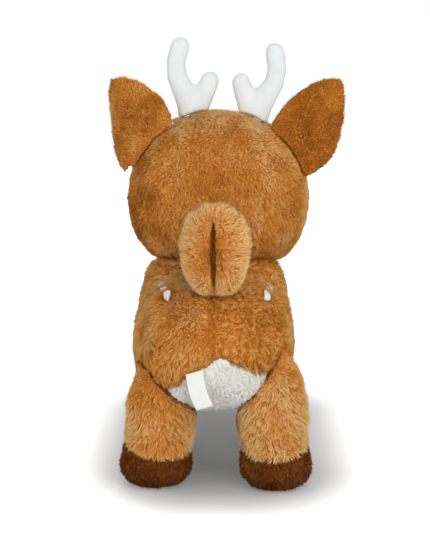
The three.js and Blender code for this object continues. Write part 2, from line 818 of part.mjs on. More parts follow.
function makeEar(sideName) {
  const side = sideName === 'left' ? 1 : -1;
  const out = ear.sideDirection * degrees;
  const root = headOval.pointAt(new THREE.Vector3(side * Math.sin(out), 0, Math.cos(out)));
  const group = new THREE.Group();
  group.position.copy(root).y += ear.setBack;
  const { twist, nod } = earPoses[sideName];
  const hinge = across.clone().applyAxisAngle(backwards, side * ear.hinge * degrees);
  group.rotation.y = side * (ear.lean - twist) * degrees;
  group.updateMatrix();
  const nodding = new THREE.Matrix4().makeRotationAxis(hinge, nod * degrees);
  const seat = moved(inset(headOval.geometry, -bendGap), group.matrix.clone().invert());
  const panel = (layer) => {
    const raw = solidOf(earPanelGeometry(side, layer), nodding);
    return clearOfSeat(raw, seat, hinge, ear.range);
  };
  group.add(
    furPiece(`ear_back_${sideName}`, panel(1)),
    creamPiece(`ear_lining_${sideName}`, panel(-1)),
  );
  return group;
}

function antlerSolid(side, depth) {
  const place = ([out, rise]) => new THREE.Vector3(side * out * antler.height, 0, rise * antler.height);
  const root = new THREE.Vector3(0, 0, -antler.rootDepth);
  const beamLine = [root, ...beamLineShares.map(place)];
  const beamRadius = (share) => {
    const taper = THREE.MathUtils.smoothstep(share, ...antler.taperShares);
    return THREE.MathUtils.lerp(antler.rootRadius, antler.beamRadius, taper) - depth;
  };
  const tineRadius = (share) => THREE.MathUtils.lerp(antler.tineRoot, antler.tineRadius, share) - depth;
  const beam = solidOf(limb(beamLine, beamRadius, antler));
  return beam.add(solidOf(limb(tineLineShares.map(place), tineRadius, antler)));
}

function makeAntler(sideName) {
  const side = sideName === 'left' ? 1 : -1;
  const group = new THREE.Group();
  group.position.set(side * antler.asideWidth, -antler.aheadLength, antler.seatHeight);
  group.updateMatrix();
  const seat = moved(inset(headOval.geometry, -bendGap), group.matrix.clone().invert());
  const clear = (solid) => clearOfSeat(solid, seat, across, antler.range);
  const outer = antlerSolid(side, 0);
  const skin = clear(outer.subtract(antlerSolid(side, cloth.velboa)));
  group.add(
    velboaPiece(`antler_front_${sideName}`, skin.intersect(beyond('y', -seamGap / 2, -1))),
    velboaPiece(`antler_back_${sideName}`, skin.intersect(beyond('y', seamGap / 2, 1))),
    fibrePiece(`antler_stuffing_${sideName}`, clear(antlerSolid(side, cloth.velboa + seamGap))),
  );
  return group;
}

// Width and depth of the tail from its root to its tip
const tailShares = [
  [0, 0.36, 0.5],
  [0.14, 0.52, 0.74],
  [0.23, 0.74, 0.9],
  [0.35, 0.9, 1],
  [0.55, 1, 1],
  [0.75, 0.96, 0.92],
  [0.89, 0.78, 0.75],
  [0.96, 0.5, 0.5],
  [1, 0.2, 0.2],
];

function tailGeometry() {
  const ringAt = (share) => {
    const [, widthShare, depthShare] = blendRows(tailShares, share);
    return turns(tail.sides).map((turn) => {
      const x = tail.halfWidth * widthShare * Math.cos(turn);
      const groove = tail.grooveShare * Math.exp(-((x / tail.grooveWidth) ** 2)) * Math.sin(share * Math.PI);
      const facing = Math.sin(turn) > 0 ? 1 - groove : 1;
      const z = -tail.rootDepth + (tail.height + tail.rootDepth) * share;
      return new THREE.Vector3(x, tail.halfDepth * depthShare * Math.sin(turn) * facing, z);
    });
  };
  const rows = Array.from({ length: tail.rings + 1 }, (_, i) => Math.sin(((i / tail.rings) * Math.PI) / 2));
  return loft(rows.map(ringAt));
}

function makeTail() {
  const group = new THREE.Group();
  group.position.set(tail.aside, torso.middleBack + torso.length / 2 - tail.insetLength, tail.seatHeight);
  group.rotation.x = -tail.lean * degrees;
  group.updateMatrix();
  const seat = moved(inset(torsoSkin, -bendGap), group.matrix.clone().invert());
  const clear = (solid) => clearOfSeat(solid, seat, across.clone().negate(), tail.range);
  const { cover, core } = layers(tailGeometry(), cloth.fur);
  const skin = clear(cover);
  group.add(
    furPiece('tail_back_panel', skin.intersect(beyond('y', seamGap / 2, 1))),
    furPiece('tail_front_panel', skin.intersect(beyond('y', -seamGap / 2, -1))),
    fibrePiece('tail_stuffing', clear(core)),
  );
  return group;
}

function makeLabel() {
  const group = new THREE.Group();
  const edges = [-1, 0, 1].map((end) => {
    const inside = new THREE.Vector3(label.aside + (end * label.width) / 2, torso.middleBack, label.top);
    return throughSkin(torsoSkin, inside, backwards);
  });
  group.position.copy(edges[1]);
  group.position.y = Math.max(...edges.map((edge) => edge.y)) + bendGap;
  group.rotation.set(label.hang * degrees, label.slant * degrees, 0);
  const outline = new THREE.Shape();
  const side = (thickness) => Array.from({ length: label.steps + 1 }, (_, i) => {
    const share = i / label.steps;
    return new THREE.Vector2(-share * label.length, thickness + label.bow * Math.sin(share * Math.PI));
  });
  outline.setFromPoints([...side(0), ...side(cloth.ribbon).reverse()]);
  const strip = new THREE.ExtrudeGeometry(outline, { depth: label.width, bevelEnabled: false });
  strip.translate(0, 0, -label.width / 2);
  strip.rotateY(-Math.PI / 2);
  group.add(named('label', solidOf(strip), colours.whiteSatin, roughnesses.satin));
  return group;
}

const deer = new THREE.Group();
deer.position.x = outlineAside;
deer.add(makeTorso(), makeSpots(), ...legs.map(makeLeg), makeHead(), makeTail(), makeLabel());

export default deer;
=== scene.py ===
"""Plush deer: sewn panels in long pile, velboa antlers, a satin label and a plain studio.

Metres, +Z up. The face looks along -Y and +X is the deer's left.
"""

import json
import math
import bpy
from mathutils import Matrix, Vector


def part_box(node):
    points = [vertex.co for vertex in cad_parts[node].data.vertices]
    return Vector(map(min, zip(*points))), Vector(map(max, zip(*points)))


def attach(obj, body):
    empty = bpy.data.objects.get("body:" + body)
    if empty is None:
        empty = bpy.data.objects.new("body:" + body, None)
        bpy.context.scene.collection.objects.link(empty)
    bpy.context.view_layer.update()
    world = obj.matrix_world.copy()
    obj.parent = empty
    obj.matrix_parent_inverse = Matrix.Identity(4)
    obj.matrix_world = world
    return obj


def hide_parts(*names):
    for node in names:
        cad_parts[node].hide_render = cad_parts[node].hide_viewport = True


bl_info = {
    "name": "Plush deer",
    "version": (1, 0, 0),
    "blender": (4, 5, 0),
    "location": "3D View > Sidebar > Deer",
    "description": "Dresses the sewn panels of a plush deer in pile, seams and ribbon",
    "category": "Object",
}

from dataclasses import dataclass

import bmesh
import bpy
import numpy as np
from mathutils import Vector
from mathutils.bvhtree import BVHTree
from mathutils.kdtree import KDTree

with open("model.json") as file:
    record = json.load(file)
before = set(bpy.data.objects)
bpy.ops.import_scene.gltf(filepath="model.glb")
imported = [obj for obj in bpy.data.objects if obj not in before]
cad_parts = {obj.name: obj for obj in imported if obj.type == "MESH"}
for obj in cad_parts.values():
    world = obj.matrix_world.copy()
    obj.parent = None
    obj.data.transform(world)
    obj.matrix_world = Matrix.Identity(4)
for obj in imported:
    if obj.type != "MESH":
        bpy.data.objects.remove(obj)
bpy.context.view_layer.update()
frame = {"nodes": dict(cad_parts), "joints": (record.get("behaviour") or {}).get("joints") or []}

SIDES = ("left", "right")
LEGS = ("hind_left", "hind_right", "front_left", "front_right")
JOINTS = {joint["name"]: joint for joint in frame["joints"]}
MIDDLE = 0.012  # X of the deer's own middle plane
MM = 0.001
TURN = 2 * math.pi

# first of the numbers that seed each group's random draws
SEEDS = {"body": 10, "legs": 30, "head": 50, "ears": 60, "tail": 70, "spots": 80, "filling": 90}

# a lock of pile is a cone of three sides and two stretches, which start with these shares of its width
LOCK_SIDES = 3
STRETCHES = 2
TAPERS = (1.0, 0.75)

# tones of the locks: the one deep in a fold, the range of all others, and the tone up to which they blacken;
# the fold tone and the blackening are painted shade
FOLD_SHADE_TONE = 0.02
LOW_TONE, HIGH_TONE = 0.06, 0.98
SHADE_BLACK_TONE = 0.07

# metres from crest to crest of the waves in the comb, in the lift, and in the tone, large and small
COMB_WAVE, LIFT_WAVE = 0.024, 0.012
PATCH_WAVE, MOTTLE_WAVE = 0.032, 0.008

# the cloth simulation that fills a cover
FILLING_FRAMES = 20
FILLING_CLOTH = {
    "quality": 5,
    "mass": 0.2,
    "tension_stiffness": 12,
    "compression_stiffness": 12,
    "shear_stiffness": 4,
    "bending_stiffness": 0.3,
    "use_pressure": True,
    "uniform_pressure_force": 4.0,
    "vertex_group_mass": "seams",
}


def linear(hex_colour):
    """sRGB hex colour as linear red, green and blue."""
    values = [int(hex_colour[i : i + 2], 16) / 255 for i in (1, 3, 5)]
    return tuple(c / 12.92 if c <= 0.04045 else ((c + 0.055) / 1.055) ** 2.4 for c in values)


def colour_prop(name, description, hex_colour):
    return bpy.props.FloatVectorProperty(
        name=name, description=description, default=linear(hex_colour), size=3, subtype="COLOR", min=0, max=1
    )


def length_prop(name, description, millimetres):
    return bpy.props.FloatProperty(
        name=name, description=description, default=millimetres * MM, min=0, unit="LENGTH", precision=4
    )


class DeerColours(bpy.types.PropertyGroup):
    """Colours of the cloths and fittings."""

    # the foot colours are darker than the pile: painted shade where the locks hide each other
    brown_root: colour_prop("Brown root", "Foot of the brown pile", "#a25a18")
    brown_body: colour_prop("Brown pile", "Middle of the brown pile", "#f8a446")
    brown_tip: colour_prop("Brown tip", "Ends of the brown pile", "#ffc672")
    cream_root: colour_prop("Cream root", "Foot of the cream pile", "#ece8da")
    cream_tip: colour_prop("Cream tip", "Ends of the cream pile", "#fffdf2")
    hoof_root: colour_prop("Hoof root", "Foot of the dark brown pile", "#4e2409")
    hoof_tip: colour_prop("Hoof tip", "Ends of the dark brown pile", "#a86023")
    velboa: colour_prop("White velboa", "Antlers and spots", "#e9edee")
    satin: colour_prop("Satin", "Ribbon label", "#eceeec")
    fibre: colour_prop("Fibre", "Loose filling", "#f0eee8")
    eye: colour_prop("Eye", "Moulded eyes", "#0d0908")
    washer: colour_prop("Washer", "Locking washers behind the eyes", "#e9e7e0")
    nose: colour_prop("Nose", "Nose cloth", "#3b2218")
    thread: colour_prop("Thread", "Stitched mouth", "#3a2015")
    floor: colour_prop("Floor", "Studio floor", "#fbfbfb")
    shade: colour_prop("Floor shade", "Floor where the deer stands over it", "#7a7a7a")


class DeerSizes(bpy.types.PropertyGroup):
    """Sizes of the pile, the seams and the cloth."""

    body_pile: length_prop("Body pile", "Length of the pile on the body", 5.6)
    leg_pile: length_prop("Leg pile", "Length of the pile on the legs", 5.8)
    head_pile: length_prop("Head pile", "Length of the pile on the head", 4.6)
    ear_pile: length_prop("Ear pile", "Length of the pile on the ears", 4.0)
    tail_pile: length_prop("Tail pile", "Length of the pile on the tail", 5.5)
    hoof_pile: length_prop("Hoof pile", "Length of the pile on the hooves", 4.2)
    cream_pile: length_prop("Cream pile", "Length of the pale pile under the tail", 5.0)
    short_pile: length_prop("Short pile", "Length of the pile on muzzle and linings", 3.2)
    lock: length_prop("Lock", "Width of one lock of pile", 0.6)
    seam: length_prop("Seam depth", "How far a seam of the legs draws the cloth in", 1.8)
    cloth: length_prop("Cloth", "Thickness of the knitted backing", 1.1)
    spacing: length_prop("Cloth mesh", "Spacing of the simulated cloth's points", 4.5)
    density: bpy.props.FloatProperty(
        name="Density",
        description="Share of the full number of locks",
        default=1,
        min=0.05,
        max=2,
        subtype="FACTOR",
    )


# Nodes and materials

NOISE, WAVE = "ShaderNodeTexNoise", "ShaderNodeTexWave"


def add_node(tree, kind, settings=None, links=None, values=None, stops=None):
    """Adds a node. Links and values go by the socket's name or number, stops fill its colour ramp."""
    node = tree.nodes.new(kind)
    for key, value in (settings or {}).items():
        setattr(node, key, value)
    for key, value in (values or {}).items():
        node.inputs[key].default_value = value
    for key, source in (links or {}).items():
        tree.links.new(source, node.inputs[key])
    if stops:
        elements = node.color_ramp.elements
        while len(elements) < len(stops):
            elements.new(0.5)
        for element, (place, colour) in zip(elements, stops):
            element.position = place
            element.color = (*colour, 1)
    return node


def new_material(name, roughness, specular, sheen=0.0, sheen_tint=(1, 1, 1)):
    """A material with one Principled shader, whose even values are set on its own sockets."""
    material = bpy.data.materials.new(name)
    material.use_nodes = True
    shader = material.node_tree.nodes["Principled BSDF"]
    shader.inputs["Roughness"].default_value = roughness
    shader.inputs["Specular IOR Level"].default_value = specular
    shader.inputs["Sheen Weight"].default_value = sheen
    shader.inputs["Sheen Roughness"].default_value = 0.5
    shader.inputs["Sheen Tint"].default_value = (*sheen_tint, 1)
    return material, material.node_tree, shader


def patterned_material(name, roughness, specular, sheen, patterns, stops, bump=None, join=None):
    """A material whose tone follows one or two patterns, and whose relief follows the first.

    patterns holds each one's kind, size in millimetres, settings and values; stops are the tones;
    bump is the relief's strength and height in millimetres; join is how the second pattern meets
    the first: the operation, its socket and the other values.
    """
    material, tree, shader = new_material(name, roughness, specular, sheen)
    place = add_node(tree, "ShaderNodeTexCoord").outputs["Object"]
    drawn = []
    for kind, millimetres, settings, values in patterns:
        values = {"Scale": 1 / (millimetres * MM), **values}
        drawn.append(add_node(tree, kind, settings, {"Vector": place}, values).outputs["Fac"])
    tone = drawn[0]
    if join:
        operation, socket, values = join
        links = {0: drawn[0], socket: drawn[1]}
        tone = add_node(tree, "ShaderNodeMath", {"operation": operation}, links, values).outputs[0]
    ramp = add_node(tree, "ShaderNodeValToRGB", links={"Fac": tone}, stops=stops)
    tree.links.new(ramp.outputs["Color"], shader.inputs["Base Color"])
    if bump:
        values = {"Strength": bump[0], "Distance": bump[1] * MM}
        relief = add_node(tree, "ShaderNodeBump", links={"Height": drawn[0]}, values=values)
        tree.links.new(relief.outputs["Normal"], shader.inputs["Normal"])
    return material


def mixed(a, b, share):
    return tuple(x + (y - x) * share for x, y in zip(a, b))


def shaded(colour, factors):
    """The colour with red, green and blue each times a factor."""
    if not hasattr(factors, "__len__"):
        factors = (factors,) * 3
    return tuple(min(c * f, 1.0) for c, f in zip(colour, factors))


def pile_material(name, root, body, tip, dark=(0.46, 0.33, 0.13), light=(1.25, 1.6, 3.4)):
    """Polyester plush pile, cut and brushed: darker at its foot, a painted shade where the locks hide each
    other, and pale at its ends, with hardly any gloss.

    Each lock keeps its own tone in U, with the cloth's own colour at the half, and its place from foot
    to end in V. Locks deep in a fold have the lowest tones and come out nearly black: a painted shade.
    """
    material, tree, shader = new_material(name, 0.85, 0.08, sheen=0.04, sheen_tint=tip)
    place = add_node(tree, "ShaderNodeUVMap", {"uv_map": "OFBake"})
    split = add_node(tree, "ShaderNodeSeparateXYZ", links={0: place.outputs["UV"]})
    tone, along = {"Value": split.outputs["X"]}, {"Fac": split.outputs["Y"]}
    # the foot of each lock is darker: painted shade where the locks hide each other
    colours = ((0.0, root), (0.3, mixed(root, body, 0.5)), (0.65, body), (1.0, tip))
    shades = []
    for factors in (dark, 1.0, light):
        stops = [(at, shaded(colour, factors)) for at, colour in colours]
        shades.append(add_node(tree, "ShaderNodeValToRGB", links=along, stops=stops).outputs["Color"])
    colour = shades[0]
    for number in (1, 2):
        step = {"From Min": (number - 1) / 2, "From Max": number / 2}
        share = add_node(tree, "ShaderNodeMapRange", links=tone, values=step)
        links = {"Factor": share.outputs["Result"], "A": colour, "B": shades[number]}
        colour = add_node(tree, "ShaderNodeMix", {"data_type": "RGBA"}, links).outputs["Result"]
    # locks of the lowest tones turn nearly black: painted shade deep in folds
    deep = add_node(tree, "ShaderNodeMapRange", links=tone, values={"From Max": SHADE_BLACK_TONE})
    links = {"Factor": deep.outputs["Result"], "B": colour}
    values = {"A": (*shaded(root, [0.3 * factor for factor in dark]), 1.0)}
    colour = add_node(tree, "ShaderNodeMix", {"data_type": "RGBA"}, links, values).outputs["Result"]
    tree.links.new(colour, shader.inputs["Base Color"])
    return material


def backing_material(name, root, body):
    """Knitted backing under the pile, seen between the locks as a soft ground.

    Its stitches stand 1.2 mm apart, in blotches 9 mm across.
    """
    patterns = ((NOISE, 1.2, {}, {}), (NOISE, 9, {}, {"Detail": 3}))
    stops = [(0.1, shaded(root, 0.85)), (0.45, mixed(root, body, 0.75))]
    return patterned_material(name, 0.9, 0.1, 0.0, patterns, stops, (0.6, 0.6), ("MULTIPLY", 1, {}))


def velboa_material(name, colour, shade=0.92):
    """Velboa, a short-napped knitted polyester: matt and even, with a faint nap.

    The nap's grains are 0.7 mm across and the patches left by handling 14 mm.
    """
    patterns = ((NOISE, 0.7, {}, {"Detail": 3}), (NOISE, 14, {}, {}))
    stops = [(0.45, shaded(colour, shade)), (0.9, colour)]
    join = ("MULTIPLY_ADD", 2, {1: 0.5})
    return patterned_material(name, 0.9, 0.15, 0.1, patterns, stops, (0.35, 0.3), join)


def banded_material(name, colour, direction, millimetres, roughness, sheen, dark, light, distortion):
    """Cloth with fine raised lines a real distance apart."""
    settings = {"wave_type": "BANDS", "bands_direction": direction}
    pattern = (WAVE, millimetres * TURN, settings, {"Distortion": distortion, "Detail": 1})
    stops = [(0.0, shaded(colour, dark)), (1.0, shaded(colour, light))]
    return patterned_material(name, roughness, 0.4, sheen, [pattern], stops, (0.25, 0.1))


def satin_material(name, colour):
    """Woven polyester satin ribbon: silky, with weft ribs.

    They are drawn 0.6 mm apart, because the real 0.15 mm is too fine to show.
    """
    return banded_material(name, colour, "Z", 0.6, 0.4, 0.1, 0.94, 1.0, 0.4)


def thread_material(name, colour):
    """Twisted embroidery thread: slightly silky, its plies 0.5 mm apart as fine slanting lines."""
    return banded_material(name, colour, "DIAGONAL", 0.5, 0.55, 0.3, 0.7, 1.4, 0.6)


def fibre_material(name, colour):
    """Loose hollow polyester fibre: white, matt and cloudy, in tangled wisps 2.5 mm across."""
    patterns = ((NOISE, 2.5, {}, {"Detail": 6, "Distortion": 1.5}),)
    stops = [(0.3, shaded(colour, 0.82)), (0.65, colour)]
    return patterned_material(name, 0.95, 0.1, 0.1, patterns, stops, (0.8, 1))


def moulded_material(name, colour, roughness, coat=0.0):
    """Injection-moulded plastic: smooth, polished where it is coated, with flow marks 3 mm across."""
    stops = [(0.3, shaded(colour, 0.9)), (0.7, shaded(colour, 1.1))]
    material = patterned_material(name, roughness, 0.5, 0.0, ((NOISE, 3, {}, {}),), stops)
    shader = material.node_tree.nodes["Principled BSDF"]
    shader.inputs["Coat Weight"].default_value = coat
    shader.inputs["Coat Roughness"].default_value = 0.03
    return material


MATERIALS = {}


def materials():
    """The deer's materials by name, made once."""
    if MATERIALS:
        return MATERIALS
    c = bpy.context.scene.deer_colours
    brown = (c.brown_root, c.brown_body, c.brown_tip)
    cream = (c.cream_root, mixed(c.cream_root, c.cream_tip, 0.6), c.cream_tip)
    hoof = (c.hoof_root, mixed(c.hoof_root, c.hoof_tip, 0.5), c.hoof_tip)
    white = (c.velboa, shaded(c.velboa, 1.1), shaded(c.velboa, 1.2))
    soft = {"dark": (0.86, 0.85, 0.8), "light": (1.15, 1.17, 1.22)}
    MATERIALS.update(
        brown_pile=pile_material("brown_plush_pile", *brown),
        cream_pile=pile_material("cream_plush_pile", *cream, **soft),
        hoof_pile=pile_material("dark_brown_plush_pile", *hoof),
        white_pile=pile_material("white_velboa_nap", *white, **soft),
        brown_backing=backing_material("brown_knitted_backing", *brown[:2]),
        cream_backing=backing_material("cream_knitted_backing", *cream[:2]),
        hoof_backing=backing_material("dark_brown_knitted_backing", *hoof[:2]),
        velboa=velboa_material("white_velboa", c.velboa),
        # a lit copy of the white velboa: painted light that makes up for the shade of the pile round the
        # spots
        spot=velboa_material("bright_white_velboa", shaded(c.velboa, 1.2), 0.98),
        nose=velboa_material("dark_brown_velboa", c.nose, 0.7),
        satin=satin_material("white_satin_ribbon", c.satin),
        fibre=fibre_material("polyester_filling", c.fibre),
        eye=moulded_material("moulded_black_acrylic", c.eye, 0.22, 0.2),
        washer=moulded_material("moulded_white_polythene", c.washer, 0.45),
        thread=thread_material("brown_embroidery_thread", c.thread),
    )
    return MATERIALS


# Meshes


def values_of(items, attribute, width=1, kind=np.int32):
    """One attribute of all items, with a row for each where it has several values."""
    out = np.empty(len(items) * width, kind)
    items.foreach_get(attribute, out)
    return out.reshape(-1, width) if width > 1 else out


def coordinates(mesh):
    return values_of(mesh.vertices, "co", 3, np.float32).astype(float)


def normals_of(mesh):
    return values_of(mesh.vertex_normals, "vector", 3, np.float32).astype(float)


def edges_of(mesh):
    return values_of(mesh.edges, "vertices", 2)


def set_coordinates(mesh, co):
    mesh.vertices.foreach_set("co", np.asarray(co, np.float32).ravel())
    mesh.update()


def smooth_faces(mesh):
    mesh.polygons.foreach_set("use_smooth", np.ones(len(mesh.polygons), bool))


def unit(vectors):
    return vectors / np.maximum(np.linalg.norm(vectors, axis=-1, keepdims=True), 1e-12)


def new_object(name, mesh, material=None):
    obj = bpy.data.objects.new(name, mesh)
    bpy.context.scene.collection.objects.link(obj)
    if material is not None:
        mesh.materials.clear()
        mesh.materials.append(material)
    return obj


def mesh_of(name, co, faces):
    mesh = bpy.data.meshes.new(name)
    mesh.from_pydata([tuple(p) for p in co], [], [tuple(int(i) for i in f) for f in faces])
    mesh.update()
    smooth_faces(mesh)
    return mesh


def edited(mesh, work):
    """The mesh after one edit of its faces."""
    bm = bmesh.new()
    bm.from_mesh(mesh)
    work(bm)
    bm.to_mesh(mesh)
    bm.free()
    return mesh


def with_modifier(mesh, kind, **settings):
    """New mesh: the given one after one modifier."""
    obj = new_object("worked", mesh)
    modifier = obj.modifiers.new("work", kind)
    for key, value in settings.items():
        setattr(modifier, key, value)
    graph = bpy.context.evaluated_depsgraph_get()
    worked = bpy.data.meshes.new_from_object(obj.evaluated_get(graph), depsgraph=graph)
    bpy.data.objects.remove(obj)
    return worked


def subdivided(mesh):
    return with_modifier(mesh, "SUBSURF", levels=1, render_levels=1)


def node_points(node):
    return coordinates(frame["nodes"][node].data)


def box_of(node):
    """Lowest and highest corner of a CAD node, its middle and half its size."""
    low, high = (np.array(corner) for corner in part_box(node))
    return low, high, (low + high) / 2, (high - low) / 2


def tree_of(nodes):
    """Search tree over the faces of several CAD nodes."""
    points, faces = [], []
    for node in nodes:
        mesh = frame["nodes"][node].data
        start = len(points)
        points += [v.co.copy() for v in mesh.vertices]
        faces += [[start + i for i in p.vertices] for p in mesh.polygons]
    return BVHTree.FromPolygons(points, faces)


def distances_to(nodes, points, limit=1.0):
    """Distance from each point to the nearest of the CAD nodes, or the limit where that is less."""
    low = np.min([node_points(n).min(0) for n in nodes], axis=0) - limit
    high = np.max([node_points(n).max(0) for n in nodes], axis=0) + limit
    out = np.full(len(points), limit)
    tree = tree_of(nodes)
    for number in np.flatnonzero(((points > low) & (points < high)).all(1)):
        found = tree.find_nearest(Vector(points[number]), limit)
        if found[3] is not None:
            out[number] = found[3]
    return out


def smoothed(co, pairs, rounds, strength=0.5, back=-0.53):
    """Evens a skin out and keeps its volume: each round draws points together, then back out."""
    count = np.maximum(np.bincount(pairs.ravel(), minlength=len(co)), 1)[:, None]
    for _ in range(rounds):
        for step in (strength, back):
            total = np.zeros_like(co)
            for k in range(3):
                total[:, k] = np.bincount(pairs[:, 0], co[pairs[:, 1], k], len(co))
                total[:, k] += np.bincount(pairs[:, 1], co[pairs[:, 0], k], len(co))
            co = co + step * (total / count - co)
    return co


def waves(points, wavelength, seed, channels=3, count=14):
    """Smooth random field with one wavelength: values for each point, about -1 to 1."""
    rng = np.random.default_rng(seed)
    out = np.zeros((len(points), channels))
    for channel in range(channels):
        ways = unit(rng.normal(size=(count, 3))) * (TURN / wavelength) * rng.uniform(0.7, 1.3, (count, 1))
        out[:, channel] = np.sin(points @ ways.T + rng.uniform(0, TURN, count)).sum(1)
    return out * math.sqrt(2 / count) * 0.7


def field(x, y, z):
    """Vectors from their three parts, each an array or one number for all."""
    return np.stack(np.broadcast_arrays(x, y, z), 1)


def bell(values, width):
    """Falls from 1 at zero to nothing past the width."""
    return np.exp(-((values / width) ** 2))


def skin_round(name, nodes, spacing, rounds=12, overlap=0.4):
    """One closed, even skin round several solids that lie against each other."""

    def swell(bm):
        bmesh.ops.remove_doubles(bm, verts=bm.verts, dist=1e-6)
        bm.normal_update()
        for vertex in bm.verts:
            vertex.co += vertex.normal * overlap * MM

    def gather(bm):
        for node in nodes:
            bm.from_mesh(edited(frame["nodes"][node].data.copy(), swell))

    whole = edited(bpy.data.meshes.new(name), gather)
    even = with_modifier(whole, "REMESH", mode="VOXEL", voxel_size=spacing)
    co = smoothed(coordinates(even), edges_of(even), rounds)
    set_coordinates(even, co - normals_of(even) * overlap * MM)
    return even


class Skin:
    """A cloth skin, and how far each of its points lies from each panel's CAD node."""

    def __init__(self, mesh, panels):
        self.mesh = mesh
        self.points, self.normals = coordinates(mesh), normals_of(mesh)
        self.away = np.stack([distances_to([node], self.points) for node in panels], 1)

    def place(self, points):
        """Moves the skin's points. They stay with their panels."""
        self.points = points
        set_coordinates(self.mesh, points)
        self.normals = normals_of(self.mesh)

    def owner(self):
        return self.away.argmin(1)

    def face_owner(self):
        """Number of each face's panel."""
        corner = values_of(self.mesh.loops, "vertex_index")
        start = values_of(self.mesh.polygons, "loop_start")
        return np.add.reduceat(self.away[corner], start).argmin(1)

    def scatter(self, density, rng):
        """Points spread evenly over the skin, with their normals and distances from the panels."""
        self.mesh.calc_loop_triangles()
        tris = values_of(self.mesh.loop_triangles, "vertices", 3)
        a, b, c = (self.points[tris[:, k]] for k in range(3))
        area = np.linalg.norm(np.cross(b - a, c - a), axis=1) / 2
        count = int(area.sum() / MM**2 * density)
        heap = np.cumsum(area) / area.sum()
        pick = np.searchsorted(heap, (np.arange(count) + rng.random(count)) / count).clip(0, len(tris) - 1)
        mix = rng.random((count, 2))
        over = mix.sum(1) > 1
        mix[over] = 1 - mix[over]
        weights = np.column_stack([1 - mix.sum(1), mix])[:, :, None]
        corners = tris[pick]
        root = (self.points[corners] * weights).sum(1)
        normal = unit((self.normals[corners] * weights).sum(1))
        return root, normal, (self.away[corners] * weights).sum(1)


def draw_seams(skin, depth, reach):
    """Draws the cloth in along the lines between panels. Gives the share of the seam at each point."""
    owner, pairs = skin.owner(), edges_of(skin.mesh)
    seam = np.unique(pairs[owner[pairs[:, 0]] != owner[pairs[:, 1]]])
    tree = KDTree(len(seam))
    for order, vertex in enumerate(seam):
        tree.insert(Vector(skin.points[vertex]), order)
    tree.balance()
    share = bell(np.array([tree.find(Vector(p))[2] for p in skin.points]), reach)
    set_coordinates(skin.mesh, skin.points - skin.normals * (share * depth)[:, None])
    return share


def stuffed(mesh, held, cap):
    """Blows the cloth out between its held seams by simulation, no point further than the cap."""
    before = coordinates(mesh)
    obj = new_object("stuffed", mesh.copy())
    group = obj.vertex_groups.new(name="seams")
    group.add([int(i) for i in np.flatnonzero(held > 0.75)], 1.0, "REPLACE")
    cloth = obj.modifiers.new("filling", "CLOTH")
    for key, value in FILLING_CLOTH.items():
        setattr(cloth.settings, key, value)
    cloth.settings.effector_weights.gravity = 0
    cloth.point_cache.frame_start = 1
    cloth.point_cache.frame_end = FILLING_FRAMES
    for number in range(1, FILLING_FRAMES + 1):
        bpy.context.scene.frame_set(number)
    graph = bpy.context.evaluated_depsgraph_get()
    after = coordinates(obj.evaluated_get(graph).data)
    bpy.context.scene.frame_set(1)
    bpy.data.objects.remove(obj)
    move = after - before
    far = np.linalg.norm(move, axis=1, keepdims=True)
    after = before + move * np.minimum(1, cap / np.maximum(far, 1e-9))
    set_coordinates(mesh, smoothed(after, edges_of(mesh), 2))
    return mesh


def made_skin(
    name, panels, filling, spacing, cap=2.2, seam=None, reach=5.0, rounds=12, shrink=0.6, plane=None
):
    """Skin round a body's solids: seams drawn in, blown out and made fine.

    Sizes are in millimetres, but for the spacing. A plane cuts a line of points where its seam runs.
    """
    mesh = skin_round(name, [*panels, *filling], spacing, rounds)
    set_coordinates(mesh, coordinates(mesh) - normals_of(mesh) * shrink * MM)
    if plane:
        place, way = plane

        def cut(bm):
            everything = [*bm.verts, *bm.edges, *bm.faces]
            bmesh.ops.bisect_plane(bm, geom=everything, dist=0.15 * MM, plane_co=place, plane_no=way)

        edited(mesh, cut)
    depth = bpy.context.scene.deer_sizes.seam if seam is None else seam * MM
    held = draw_seams(Skin(mesh, panels), depth, reach * MM)
    return Skin(subdivided(stuffed(mesh, held, cap * MM)), panels)


def panel_piece(name, skin, panel, material, thickness):
    """Closed piece of cloth cut from a skin: the faces of one panel, thickened inwards."""

    def keep_panel(bm):
        bm.faces.ensure_lookup_table()
        others = [bm.faces[i] for i in np.flatnonzero(skin.face_owner() != panel)]
        bmesh.ops.delete(bm, geom=others, context="FACES")

    flat = edited(skin.mesh.copy(), keep_panel)
    closed = with_modifier(flat, "SOLIDIFY", thickness=thickness, offset=-1)
    closed.name = name
    smooth_faces(closed)
    return new_object(name, closed, material)


# Pile


@dataclass
class Pile:
    """How one cloth's pile grows."""

    length: float  # metres
    density: float = 0.85  # locks on a square millimetre
    lift: float = 55  # degrees off the cloth
    sway: float = 0.4  # how far the comb wanders
    ruffle: float = 0.5  # how far each tuft turns from the comb
    gather: float = 0.5  # how far a tuft's ends are drawn together
    tuft: float = 3.2  # size of a tuft in millimetres
    curl: float = 0.12  # how far a lock winds, as a share of its length
    width: float = None  # of one lock, in metres, where it isn't the usual one
    lean: tuple = (0, 0, 0)  # the way from which light soaks through the fibres


def tuft_numbers(root, size, seed):
    """Number of the tuft that each lock stands in, on a grid warped so that it doesn't show."""
    warp = 0.5 * size * waves(root, 3 * size, seed)
    cells = np.floor((root + warp) / size).astype(np.int64)
    return np.unique(cells, axis=0, return_inverse=True)[1].ravel()


def tuft_means(values, tuft):
    count = np.bincount(tuft)
    return np.stack([np.bincount(tuft, values[:, k]) / count for k in range(3)], 1)[tuft]


